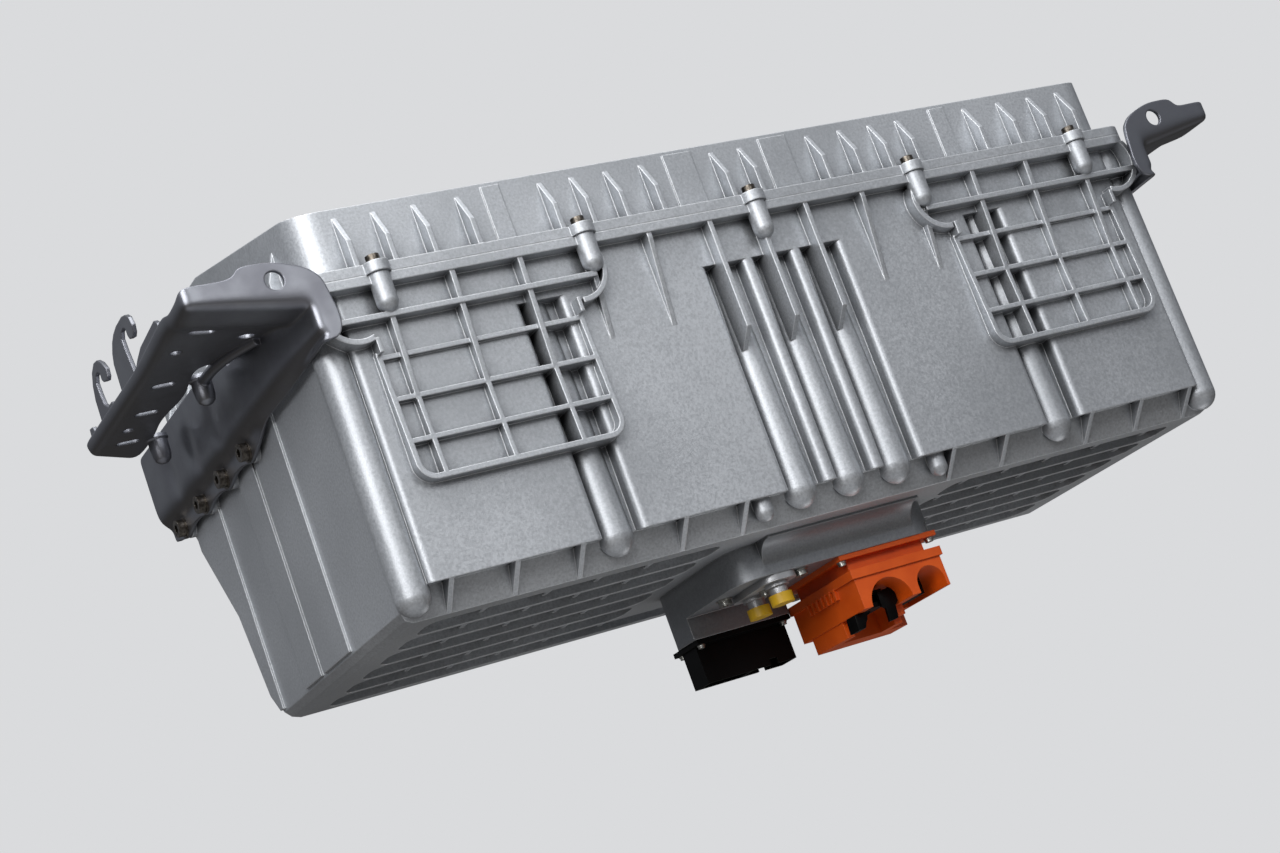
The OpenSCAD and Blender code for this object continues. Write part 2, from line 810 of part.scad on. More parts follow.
module hanger_shelf() {
    union() {
        // front part, rolled into the front plate
        translate([0, 0, front_shelf_z])
            linear_extrude(sheet_t)
                polygon([
                    [web_x - 6, plate_face + front_roll], [plate_end_x, plate_face + front_roll], [shelf_x - 2, plate_y + 24],
                    [shelf_x - 2, step_y + 2], [web_x - 1, step_y + 2]
                ]);
        translate([web_x - 6, 0, 0])
            rotate([90, 0, 90])
                linear_extrude(plate_end_x - web_x + 6)
                    translate([plate_face + front_roll, front_shelf_z + front_roll])
                        roll(front_roll);
        // step up to the strip
        box([web_x - 1, shelf_x - 2], [step_y, step_y + sheet_t], [front_shelf_z, shelf_z + sheet_t]);
        translate([0, 0, shelf_z])
            linear_extrude(sheet_t)
                polygon(concat(
                    [[web_x - 1, -70], [web_x - 1, step_y + 1], [shelf_x - edge_roll, step_y + 1],
                     [shelf_x - edge_roll, shelf_back]],
                    [for (i = [0:len(strip_edge) - 1]) strip_edge[len(strip_edge) - 1 - i]]
                ));
        // outer edge turned up
        translate([0, shelf_back, 0])
            rotate([90, 0, 0])
                linear_extrude(shelf_back - step_y - 1)
                    translate([shelf_x - edge_roll, shelf_z + edge_roll])
                        mirror([1, 0])
                            roll(edge_roll);
        // ears with pegs
        for (y = pegs)
            translate([peg_x, y, 0]) {
                translate([0, 0, shelf_z])
                    cylinder(r = 7.5, h = sheet_t);
                column(5, shelf_z - 12, shelf_z + cut);
            }
    }
}

module right_hanger() {
    tab_x = shelf_x - sheet_t;
    difference() {
        union() {
            hanger_web();
            hanger_foot();
            hanger_shelf();
            along_y(plate_face, plate_face + sheet_t)
                polygon(plate_outline);
            // hooks and tabs on the turned-up edge
            along_x(hook_a, tab_x, shelf_x);
            along_x(hook_b, tab_x, shelf_x);
            along_x([[-140, 6], [-66, 6], [-57, 13], [-66, 16], [-83, 19], [-134, 19], [-140, 15]], tab_x, shelf_x);
            along_x([[68, 6], [86, 6], [84, 18], [76, 17]], tab_x, shelf_x);
            // swages pressed into the web
            for (y = [12, 72, 132])
                along_x([[y - 8, -hang_drop + 22], [y + 8, -hang_drop + 22], [y + 6, 10], [y - 6, 10]],
                        web_x, web_x + sheet_t / 2 + 2);
        }
        translate([hang_x, plate_y, hang_hole_z])
            rotate([90, 0, 0])
                cylinder(r = hang_hole_r, h = 30, center = true);
        for (y = hang_screws)
            translate([half_l, y, -hang_drop])
                rotate([0, 90, 0])
                    cylinder(r = hang_screw_r + 0.4, h = 12);
        // slots and round holes in the shelf, from its outer edge
        for (s = [[21, -32], [25, 26], [25, 81], [21, -148]])
            box([shelf_x - s[0] - 8, shelf_x - s[0] + 8], [s[1] - 3, s[1] + 3], [shelf_z - cut, shelf_z + sheet_t + cut]);
        for (y = [-106, 56])
            translate([shelf_x - 18, y, shelf_z - cut])
                cylinder(r = 4.5, h = sheet_t + 2 * cut);
        translate([hang_x + 5, -135, shelf_z - cut])
            cylinder(r = 6, h = sheet_t + 2 * cut);
    }
}

module left_bracket() {
    color(hanger_black)
        mirror([1, 0, 0])
            right_hanger();
}

module right_bracket() {
    color(hanger_black)
        right_hanger();
}

module hanger_screw_set() {
    for (y = hang_screws)
        translate([foot_x + sheet_t / 2, y, -hang_drop])
            rotate([0, 90, 0])
                flange_screw(hang_screw_r, 20, 8.5, 7);
}

module left_bracket_screws() {
    color(steel)
        mirror([1, 0, 0])
            hanger_screw_set();
}

module right_bracket_screws() {
    color(steel)
        hanger_screw_set();
}

// Body of the connector housing, shrunk by t on every side
module block_body(t) {
    intersection() {
        union() {
            box([block_x0 + t, block_x1 - t], [block_y0 + t, block_y1 - t], [block_low + t, block_top]);
            box([block_x0 + t, block_deep_x - t], [block_step_y + t, block_y1 - t], [block_low_back + t, block_top]);
        }
        translate([0, 0, block_low_back - cut])
            linear_extrude(block_deep + 2 * cut)
                rounded([block_x0 + t, block_x1 - t], [block_y0 + t, block_y1 - t], block_r - t);
    }
}

// Concave skirt along the front of the block, up to the underside of the tub
module block_skirt() {
    difference() {
        box([block_x0 + block_r, block_x1 - block_r], [block_y0 - skirt_r - 2, block_y0 + 1],
            [block_top - skirt_r, block_top]);
        translate([0, block_y0 - skirt_r, block_top - skirt_r - 2])
            rotate([0, 90, 0])
                cylinder(r = skirt_r, h = case_l, center = true, $fn = 96);
        box([block_x0, block_x1], [block_y0 - skirt_r - 3, block_y0 - skirt_r], [block_low, block_top - 2]);
    }
}

module connector_housing() {
    color(silver_dark)
        difference() {
            union() {
                difference() {
                    union() {
                        block_body(0);
                        block_skirt();
                    }
                    intersection() {
                        block_body(block_wall);
                        box([block_x0, block_x1], [block_y0, block_y1], [block_low_back, block_top + cut]);
                    }
                    translate([0, 0, block_top - cut])
                        linear_extrude(2 * cut)
                            rounded([block_x0 + 12, block_x1 - 12], [block_y0 + 12, block_y1 - 12], block_r - 12);
                }
                // rim that carries the seal
                translate([0, 0, block_top - 6])
                    linear_extrude(6)
                        difference() {
                            rounded([block_x0, block_x1], [block_y0, block_y1], block_r);
                            rounded([block_x0 + 12, block_x1 - 12], [block_y0 + 12, block_y1 - 12], block_r - 12);
                        }
                for (p = block_screws)
                    translate([p[0], p[1], block_low])
                        cylinder(r = 7, h = block_drop);
                for (y = port_ys)
                    translate([port_x, y, block_low])
                        cylinder(r = port_r + 3, h = block_drop);
            }
            for (p = block_screws)
                translate([p[0], p[1], block_low_back - cut])
                    cylinder(r = screw_r + 0.3, h = block_deep + 2 * cut);
            for (y = port_ys)
                translate([port_x, y, block_low - cut])
                    cylinder(r = port_r + seat_gap, h = block_drop + 2 * cut);
            // openings over the two headers
            box([hv_x[0] + 14, hv_x[1] - 14], [hv_y[0] + 18, hv_y[1] - 18], [block_low - cut, block_low + block_wall + cut]);
            box([lv_x[0] + 12, lv_x[1] - 12], [lv_y[0] + 9, lv_y[1] - 12], [block_low_back - cut, block_low_back + block_wall + cut]);
            for (x = [hv_x[0] + 3.5, hv_x[1] + 1], y = [hv_y[0] + 12, hv_y[1] - 4])
                translate([x, y, block_low - cut])
                    cylinder(r = 2.2, h = 10);
            for (x = [lv_x[0] + 5, lv_x[1] - 5], y = [lv_y[0] + 5, lv_y[1] - 5])
                translate([x, y, block_low_back - cut])
                    cylinder(r = 2, h = 10);
            translate([port_x, (port_ys[0] + port_ys[1]) / 2, block_low - cut])
                cylinder(r = 2.5, h = 12);
            block_gasket_ring(0.25, cut);
        }
}

module block_gasket_ring(grow, above) {
    translate([0, 0, block_top - 2])
        linear_extrude(2 + above)
            difference() {
                rounded([block_x0 + 3 - grow, block_x1 - 3 + grow], [block_y0 + 3 - grow, block_y1 - 3 + grow], block_r - 3);
                rounded([block_x0 + 6 + grow, block_x1 - 6 - grow], [block_y0 + 6 + grow, block_y1 - 6 - grow], block_r - 6);
            }
}

module connector_housing_gasket() {
    color(rubber_black)
        block_gasket_ring(0, 0);
}

module connector_housing_screws() {
    color(steel)
        for (p = block_screws)
            translate([p[0], p[1], block_low])
                mirror([0, 0, 1])
                    flange_screw(screw_r, block_drop + 12, 6.3, 5);
}

// Arched channel for one plug: round above, open below
module plug_arch(x, r) {
    along_y(hv_y[0] - cut, hv_y[0] + 62)
        union() {
            translate([x, hv_roof - r])
                circle(r);
            translate([x - r, hv_low - 20])
                square([2 * r, hv_roof - r - hv_low + 20]);
        }
}

hv_roof = block_low - 26;
hv_low = block_low - 45;
hv_lip = block_low - 14;

module hv_header() {
    color(hv_orange)
        difference() {
            union() {
                // flange on the housing, neck, and body with its lip
                box([hv_x[0] - 1, hv_x[1] + 5], [hv_y[0] + 6, hv_y[1] + 2], [block_low - 4, block_low]);
                box([hv_x[0] + 8, hv_x[1] - 6], [hv_y[0] + 13, hv_y[1] - 10], [hv_lip - 1, block_low - 3]);
                box([hv_x[0], hv_x[1]], [hv_y[0], hv_y[1]], [hv_lip - 7, hv_lip]);
                box([hv_x[0] + 2, hv_x[1] - 2], [hv_y[0] + 2, hv_y[1] - 2], [hv_low, hv_lip - 6]);
                // collar below the first plug
                box([hv_x[0] + 3, hv_x[0] + 74], [hv_y[0] + 40, hv_y[1] - 14], [hv_low - 13, hv_low + 1]);
                box([hv_x[0] + 9, hv_x[0] + 68], [hv_y[0] + 32, hv_y[0] + 41], [hv_low - 8, hv_low + 1]);
                // keys on the left side
                for (i = [0:6])
                    box([hv_x[0] - 1, hv_x[0] + 3], [hv_y[0] + 30 + i * 7, hv_y[0] + 33 + i * 7], [hv_lip - 15, hv_lip - 6]);
            }
            for (a = hv_arches)
                plug_arch(a[0], a[1]);
            // cable side of the neck stays open to the housing
            box([hv_x[0] + 17, hv_x[1] - 17], [hv_y[1] - 34, hv_y[1] - 20], [hv_lip - 3, block_low + cut]);
            for (x = [hv_x[0] + 3.5, hv_x[1] + 1], y = [hv_y[0] + 12, hv_y[1] - 4])
                translate([x, y, block_low - 10])
                    cylinder(r = 2.4, h = 12);
        }
}

// Black carriers of the high-voltage contacts, one behind each arch
module hv_contact_blocks() {
    color(plastic_black)
        for (a = hv_arches)
            difference() {
                box([a[0] - a[1] * 0.4, a[0] + a[1] * 0.4], [hv_y[0] + 24, hv_y[0] + 61.5], [hv_low + 2, hv_roof - 4]);
                box([a[0] - a[1] * 0.2, a[0] + a[1] * 0.2], [hv_y[0] + 23, hv_y[0] + 48], [hv_low + 6, hv_roof - 7]);
            }
}

module hv_contact_pins() {
    color(tin)
        for (a = hv_arches)
            box([a[0] - 1.5, a[0] + 1.5], [hv_y[0] + 30, hv_y[0] + 48], [hv_low + 8, hv_roof - 8]);
}

module hv_header_screws() {
    color(steel)
        for (x = [hv_x[0] + 3.5, hv_x[1] + 1], y = [hv_y[0] + 12, hv_y[1] - 4])
            translate([x, y, block_low - 4])
                mirror([0, 0, 1])
                    flange_screw(2.2, 10, 4, 3.5);
}

module lv_header() {
    top = block_low_back;
    color(plastic_black)
        difference() {
            union() {
                box(lv_x, lv_y, [top - 4, top]);
                box([lv_x[0] + 2, lv_x[1] - 2], [lv_y[0] + 9, lv_y[1] - 10], [top - 34, top - 3]);
            }
            for (x = [[lv_x[0] + 5, -36], [-33, lv_x[1] - 5]])
                box(x, [lv_y[0] + 11, lv_y[1] - 13], [top - 35, top - 10]);
            box([lv_x[1] - 26, lv_x[1] - 19], [lv_y[0] + 7, lv_y[1] - 9], [top - 35, top - 29]);
            for (x = [lv_x[0] + 5, lv_x[1] - 5], y = [lv_y[0] + 5, lv_y[1] - 5])
                translate([x, y, top - 10])
                    cylinder(r = 2.2, h = 12);
        }
}

module lv_contact_pins() {
    top = block_low_back;
    color(tin)
        for (x0 = [-67, -27], i = [0:6])
            translate([x0 + i * 4, (lv_y[0] + lv_y[1]) / 2 - 1, top - 26])
                cylinder(r = 0.8, h = 16);
}

module lv_header_screws() {
    color(steel)
        for (x = [lv_x[0] + 5, lv_x[1] - 5], y = [lv_y[0] + 5, lv_y[1] - 5])
            translate([x, y, block_low_back - 4])
                mirror([0, 0, 1])
                    flange_screw(2, 9, 3.4, 3);
}

module port_clamp_plate() {
    color(silver_dark)
        translate([0, 0, block_low - 5])
            linear_extrude(5)
                difference() {
                    rounded([port_x - 15, port_x + 15], [port_ys[0] - 14, port_ys[1] + 14], 10);
                    for (y = port_ys)
                        translate([port_x, y])
                            circle(port_r + 0.2);
                    translate([port_x, (port_ys[0] + port_ys[1]) / 2])
                        circle(3);
                }
}

module port_clamp_screw() {
    color(steel)
        translate([port_x, (port_ys[0] + port_ys[1]) / 2, block_low - 5])
            mirror([0, 0, 1])
                flange_screw(2.5, 15, 5, 4);
}

// Coolant stub from the cooling plate down to its cap
module coolant_port(y) {
    color(tin)
        translate([port_x, y, 0])
            difference() {
                union() {
                    translate([0, 0, block_low - 20])
                        cylinder(r = port_r, h = floor_z - block_low + 20);
                    translate([0, 0, block_low - 8])
                        cylinder(r = port_r + 2.5, h = 3);
                }
                translate([0, 0, block_low - 21])
                    cylinder(r = port_bore, h = floor_z - block_low + 22);
            }
}

module inlet_port() {
    coolant_port(port_ys[0]);
}

module outlet_port() {
    coolant_port(port_ys[1]);
}

module port_cap(y) {
    color(cap_yellow)
        translate([port_x, y, block_low - 21.6])
            difference() {
                cylinder(r = port_r + 2.2, h = 8);
                translate([0, 0, 1.5])
                    cylinder(r = port_r + 0.1, h = 8);
            }
}

module inlet_port_cap() {
    port_cap(port_ys[0]);
}

module outlet_port_cap() {
    port_cap(port_ys[1]);
}

module cooling_plate() {
    color(silver_dark)
        difference() {
            union() {
                difference() {
                    box([-plate_x, plate_x], [cell_y0 - 4, cell_y0 + cell_d + 12], [floor_z, cell_z]);
                    box([-channel_half + 6, channel_half - 6], [-130, 20], [floor_z - cut, cell_z + cut]);
                    box([port_x - 20, -10], [-130, -40], [floor_z - cut, floor_z + 4]);
                }
                for (y = port_ys)
                    translate([port_x, y, floor_z])
                        cylinder(r = port_r + 3, h = 6);
            }
            for (y = port_ys)
                translate([port_x, y, floor_z - cut])
                    cylinder(r = port_bore, h = 8);
            for (x = module_x, sx = [-1, 1], sy = [0, 1])
                translate([x + sx * (module_l / 2 - end_plate_t / 2), cell_y0 + (sy == 0 ? 4 : cell_d - 4), floor_z + 3])
                    cylinder(r = 2, h = plate_h);
            for (p = block_screws)
                translate([p[0], p[1], floor_z - cut])
                    cylinder(r = 9, h = 7);
        }
}

// Prismatic cell standing on the cooling plate
module cell(x) {
    box([x, x + cell_t], [cell_y0, cell_y0 + cell_d], [cell_z, cell_z + cell_h]);
    for (y = [cell_y0 + 30, cell_y0 + cell_d - 54])
        box([x + 3, x + cell_t - 3], [y, y + 24], [cell_z + cell_h - cut, cell_z + cell_h + 4]);
}

module module_cells(i) {
    x0 = module_x[i] - module_l / 2 + end_plate_t + seat_gap;
    color(cell_blue)
        for (k = [0:cells_n - 1])
            cell(x0 + k * cell_pitch);
}

module cells_module_1() {
    module_cells(0);
}

module cells_module_2() {
    module_cells(1);
}

module cells_module_3() {
    module_cells(2);
}

module cells_module_4() {
    module_cells(3);
}

module module_end_plates() {
    color(silver_dark)
        for (x = module_x, side = [-1, 1])
            let (c = x + side * (module_l / 2 - end_plate_t / 2))
            difference() {
                box([c - end_plate_t / 2, c + end_plate_t / 2], [cell_y0, cell_y0 + cell_d], [cell_z, tray_z]);
                for (y = [cell_y0 + 20, cell_y0 + cell_d / 2 + 8])
                    box([c - end_plate_t, c + end_plate_t], [y, y + cell_d / 2 - 28], [cell_z + 20, cell_z + 40]);
                for (y = [cell_y0 + 4, cell_y0 + cell_d - 4])
                    translate([c, y, cell_z - cut])
                        cylinder(r = 2.1, h = end_plate_h + 3 * cut);
            }
}

// Long screws through the end plates and the tray into the cooling plate
module module_screws() {
    color(steel)
        for (x = module_x, side = [-1, 1], y = [cell_y0 + 4, cell_y0 + cell_d - 4])
            translate([x + side * (module_l / 2 - end_plate_t / 2), y, tray_top])
                flange_screw(2, end_plate_h + tray_t + 8, 4.5, 4);
}

// Copper links that join neighbouring cells in series
module cell_links() {
    z = cell_z + cell_h + 4;
    color(copper)
        for (m = [0:3], k = [0:cells_n - 2])
            let (
                x = module_x[m] - module_l / 2 + end_plate_t + seat_gap + k * cell_pitch,
                y = k % 2 == 0 ? cell_y0 + 30 : cell_y0 + cell_d - 54
            )
            box([x + 3, x + cell_pitch + cell_t - 3], [y + 2, y + 22], [z, z + 2]);
}

tray_x = plate_x - 1;
tray_y = [cell_y0, cell_y0 + cell_d];

module junction_tray() {
    color(plastic_black)
        difference() {
            box([-tray_x, tray_x], tray_y, [tray_z, tray_top]);
            box([-channel_half + 4, channel_half - 4], [-110, 10], [tray_z - cut, tray_top + cut]);
            for (x = module_x, side = [-1, 1], y = [cell_y0 + 4, cell_y0 + cell_d - 4])
                translate([x + side * (module_l / 2 - end_plate_t / 2), y, tray_z - cut])
                    cylinder(r = 2.2, h = tray_t + 2 * cut);
        }
}

controller = [[-270, -90], [-140, -10], 34];

module battery_controller() {
    z = tray_top;
    color(silver)
        difference() {
            union() {
                box(controller[0], controller[1], [z, z + controller[2]]);
                box([controller[0][0] - 10, controller[0][1] + 10], [-120, -100], [z, z + 3]);
                box([controller[0][0] - 10, controller[0][1] + 10], [-50, -30], [z, z + 3]);
            }
            for (i = [0:11])
                box([controller[0][0] + 10 + i * 14, controller[0][0] + 17 + i * 14], [-130, -20],
                    [z + controller[2] - 3, z + controller[2] + cut]);
        }
}

contactor_xs = [90, 160];

// Two contactors: square foot, round can, two stud terminals on top
module main_contactors() {
    color(plastic_black)
        for (x = contactor_xs)
            translate([x, -60, tray_top]) {
                translate([-27, -27, 0])
                    cube([54, 54, 5]);
                translate([0, 0, 4])
                    cylinder(r = 25, h = 44);
                for (s = [-1, 1])
                    translate([s * 12, 0, 47])
                        cylinder(r = 4.5, h = 7);
            }
}

module main_fuse() {
    color([0.85, 0.84, 0.80])
        translate([230, -60, tray_top]) {
            translate([-14, -40, 0])
                cube([28, 80, 4]);
            translate([0, -26, 18])
                rotate([-90, 0, 0])
                    cylinder(r = 14.2, h = 52);
        }
}

module current_sensor() {
    color(plastic_black)
        difference() {
            box([channel_half + 5, channel_half + 23], [-70, -30], [tray_top, tray_top + 34]);
            box([channel_half + 4, channel_half + 24], [-64, -36], [tray_top + 9, tray_top + 19]);
        }
}

module precharge_resistor() {
    color([0.35, 0.42, 0.33])
        difference() {
            box([110, 180], [20, 50], [tray_top, tray_top + 16]);
            for (i = [0:5])
                box([118 + i * 10, 122 + i * 10], [19, 51], [tray_top + 9, tray_top + 17]);
        }
}

// Copper bars down the free channel to the plug contacts
module hv_busbar_plus() {
    color(copper)
        along_y(-60, -40)
            bent([[contactor_xs[0] - 27, tray_top + 10.5], [14, tray_top + 10.5], [14, block_low + 12],
                  [hv_arches[1][0], block_low + 12]], 3);
}

module hv_busbar_minus() {
    color(copper)
        along_y(-94, -74)
            bent([[contactor_xs[0] - 24, tray_top + 6.5], [-10, tray_top + 6.5], [-10, block_low + 8],
                  [hv_arches[0][0], block_low + 8]], 3);
}

// Bundle from the controller down to the low-voltage header
module lv_harness() {
    r = 5;
    x0 = controller[0][1];
    color(rubber_black)
        translate([0, -20, 0])
            union() {
                translate([x0, 0, tray_top + 16])
                    rotate([0, 90, 0])
                        cylinder(r = r, h = -18 - x0);
                translate([-18, 0, tray_top + 16])
                    sphere(r);
                translate([-18, 0, block_low + 10])
                    cylinder(r = r, h = tray_top + 6 - block_low);
                translate([-18, 0, block_low + 10])
                    sphere(r);
                translate([-18, 0, block_low + 10])
                    rotate([-90, 0, 0])
                        cylinder(r = r, h = 17);
                translate([-18, 17, block_low + 10])
                    sphere(r);
                translate([-18, 17, block_low_back + 1])
                    cylinder(r = r, h = block_deep - block_drop + 9);
            }
}

translate(CASE_SHIFT) lower_housing();
translate(CASE_SHIFT) lid();
translate(CASE_SHIFT) lid_gasket();
translate(CASE_SHIFT) lid_screws();
translate(CASE_SHIFT) left_bracket();
translate(CASE_SHIFT) right_bracket();
translate(CASE_SHIFT) left_bracket_screws();
translate(CASE_SHIFT) right_bracket_screws();
translate(CASE_SHIFT) connector_housing();
translate(CASE_SHIFT) connector_housing_gasket();
translate(CASE_SHIFT) connector_housing_screws();
translate(CASE_SHIFT) hv_header();
translate(CASE_SHIFT) hv_contact_blocks();
translate(CASE_SHIFT) hv_contact_pins();
translate(CASE_SHIFT) hv_header_screws();
translate(CASE_SHIFT) lv_header();
translate(CASE_SHIFT) lv_contact_pins();
translate(CASE_SHIFT) lv_header_screws();
translate(CASE_SHIFT) port_clamp_plate();
translate(CASE_SHIFT) port_clamp_screw();
translate(CASE_SHIFT) inlet_port();
translate(CASE_SHIFT) outlet_port();
translate(CASE_SHIFT) inlet_port_cap();
translate(CASE_SHIFT) outlet_port_cap();
translate(CASE_SHIFT) cooling_plate();
translate(CASE_SHIFT) cells_module_1();
translate(CASE_SHIFT) cells_module_2();
translate(CASE_SHIFT) cells_module_3();
translate(CASE_SHIFT) cells_module_4();
translate(CASE_SHIFT) module_end_plates();
translate(CASE_SHIFT) module_screws();
translate(CASE_SHIFT) cell_links();
translate(CASE_SHIFT) junction_tray();
translate(CASE_SHIFT) battery_controller();
translate(CASE_SHIFT) main_contactors();
translate(CASE_SHIFT) main_fuse();
translate(CASE_SHIFT) current_sensor();
translate(CASE_SHIFT) precharge_resistor();
translate(CASE_SHIFT) hv_busbar_plus();
translate(CASE_SHIFT) hv_busbar_minus();
translate(CASE_SHIFT) lv_harness();
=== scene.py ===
import json
import math

import bmesh
import bpy
from mathutils import Matrix, Vector


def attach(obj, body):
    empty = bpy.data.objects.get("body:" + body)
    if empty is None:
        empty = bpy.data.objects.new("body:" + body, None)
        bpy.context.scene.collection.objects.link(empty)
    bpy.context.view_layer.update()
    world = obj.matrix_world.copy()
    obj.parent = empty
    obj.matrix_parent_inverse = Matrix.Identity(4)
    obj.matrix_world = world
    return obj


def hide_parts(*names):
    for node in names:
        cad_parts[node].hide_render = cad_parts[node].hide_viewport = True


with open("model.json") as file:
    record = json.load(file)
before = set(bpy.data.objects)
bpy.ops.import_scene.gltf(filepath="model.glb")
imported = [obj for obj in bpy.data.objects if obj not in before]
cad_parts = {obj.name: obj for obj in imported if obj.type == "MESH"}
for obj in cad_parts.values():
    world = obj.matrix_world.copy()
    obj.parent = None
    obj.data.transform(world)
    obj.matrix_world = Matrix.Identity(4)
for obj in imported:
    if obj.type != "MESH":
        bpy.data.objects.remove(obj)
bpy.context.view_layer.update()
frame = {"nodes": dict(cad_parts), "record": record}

MM = 0.001
NODES = frame["nodes"]
ROOT = "root"
# From the case centre, about which the hangers and inserts are measured, to the frame, in millimetres
CASE_SHIFT = Vector((0.0, 209.0, -5.0))

# Camera of the photograph, in metres in the frame of the part; its focal length in millimetres
CAMERA_AT = Vector((-1.03806, -1.49918, -0.52915))
CAMERA_RIGHT = Vector((0.84793, -0.40896, -0.33729))
CAMERA_UP = Vector((0.19908, -0.34403, 0.91761))
CAMERA_LENS = 70.83
SENSOR_WIDTH = 36.0
NEAR_CLIP, FAR_CLIP = 0.05, 60

# Studio: colour of the backdrop and of the floor's paper, and how far below the part the floor lies
BACKDROP = "#DADBDD"
FLOOR_PAPER = "#E6E6E8"
FLOOR_GLOW = 0.45
FLOOR_Z = -4.0
FLOOR_HALF = 200
FLOOR_ROUGHNESS = 0.9
# Light that the studio throws back, from the floor up: height of the direction and colour
WORLD_STOPS = ((-1.0, "#B9BABC"), (-0.75, "#A2A3A5"), (-0.5, "#5C5853"), (-0.15, "#4C4843"), (0.1, "#6C6E73"),
               (0.6, "#C6CAD0"), (1.0, "#D6D9DD"))
# The side of the studio that is brighter, and the levels opposite it and on it
BRIGHT_SIDE, SIDE_REACH = (-0.62, -0.78, 0.0), 0.9
LEVELS = (0.50, 1.25)
CENTRE = (0.0, 0.2, -0.1)
UNDER_BLOCK = (0.06, 0.1, -0.29)
# Name, place, target, size in metres and watts of each soft box
SOFT_BOXES = (
    ("key_front", (-1.4, -2.4, 1.3), CENTRE, (1.4, 1.2), 34),
    ("top", (-0.5, -0.7, 2.8), CENTRE, (3.2, 2.4), 74),
    ("left_front", (-2.2, -1.6, 0.7), CENTRE, (1.3, 1.3), 26),
    ("plate_glow", (0.45, -2.3, 0.75), CENTRE, (0.9, 0.7), 5),
    ("floor_glow", (0.65, 0.5, -1.25), UNDER_BLOCK, (0.6, 0.5), 1.6),
    ("low_front", (0.4, -2.3, -1.4), CENTRE, (1.2, 0.7), 1.2),
)

# Surfaces, in millimetres: size of clouds, spots and grain, and depth of what the bump shows
BEVEL_SAMPLES = 6
CAST_CLOUD, CAST_DEPTH = 150, 0.22
COAT_CLOUD, PEEL, PEEL_DEPTH = 26, 1.2, 0.05
PLATE_SPOTS, PLATE_DEPTH, PLATED_EDGE = 2.2, 0.03, 0.25
MOULD_FLOW, MOULD_GRAIN, MOULD_DEPTH = 18, 0.8, 0.04
# Casting: how far into a corner the painted shade reaches, and its colour; how much of an edge gets a painted
# highlight
PAINTED_SHADE_REACH, PAINTED_SHADE_COLOUR, PAINTED_SHADE_SAMPLES = 14, "#3C3D40", 4
EDGE_HIGHLIGHT_SHARE, CAST_METALLIC = 0.75, 0.65


def linear(hex_colour):
    """Linear colour with alpha from an sRGB hex value."""
    out = []
    for i in (1, 3, 5):
        c = int(hex_colour[i:i + 2], 16) / 255
        out.append(c / 12.92 if c <= 0.04045 else ((c + 0.055) / 1.055) ** 2.4)
    return (*out, 1.0)


def add(tree, kind, inputs=None, **settings):
    """Adds one shader node with its settings, and its inputs as values or as links from sockets."""
    node = tree.nodes.new("ShaderNode" + kind)
    for key, value in settings.items():
        setattr(node, key, value)
    for key, value in (inputs or {}).items():
        if isinstance(value, bpy.types.NodeSocket):
            tree.links.new(value, node.inputs[key])
        else:
            node.inputs[key].default_value = value
    return node


def new_material(name):
    """An empty material with its node tree and its shader."""
    material = bpy.data.materials.new(name)
    material.use_nodes = True
    tree = material.node_tree
    return material, tree, tree.nodes["Principled BSDF"]


def per_mm(size):
    """Noise scale for features of that size in millimetres."""
    return 1 / (size * MM)


def connect(tree, shader, colour, roughness, normal):
    """Links what varies over the surface to the shader."""
    tree.links.new(colour, shader.inputs["Base Color"])
    tree.links.new(roughness, shader.inputs["Roughness"])
    tree.links.new(normal, shader.inputs["Normal"])


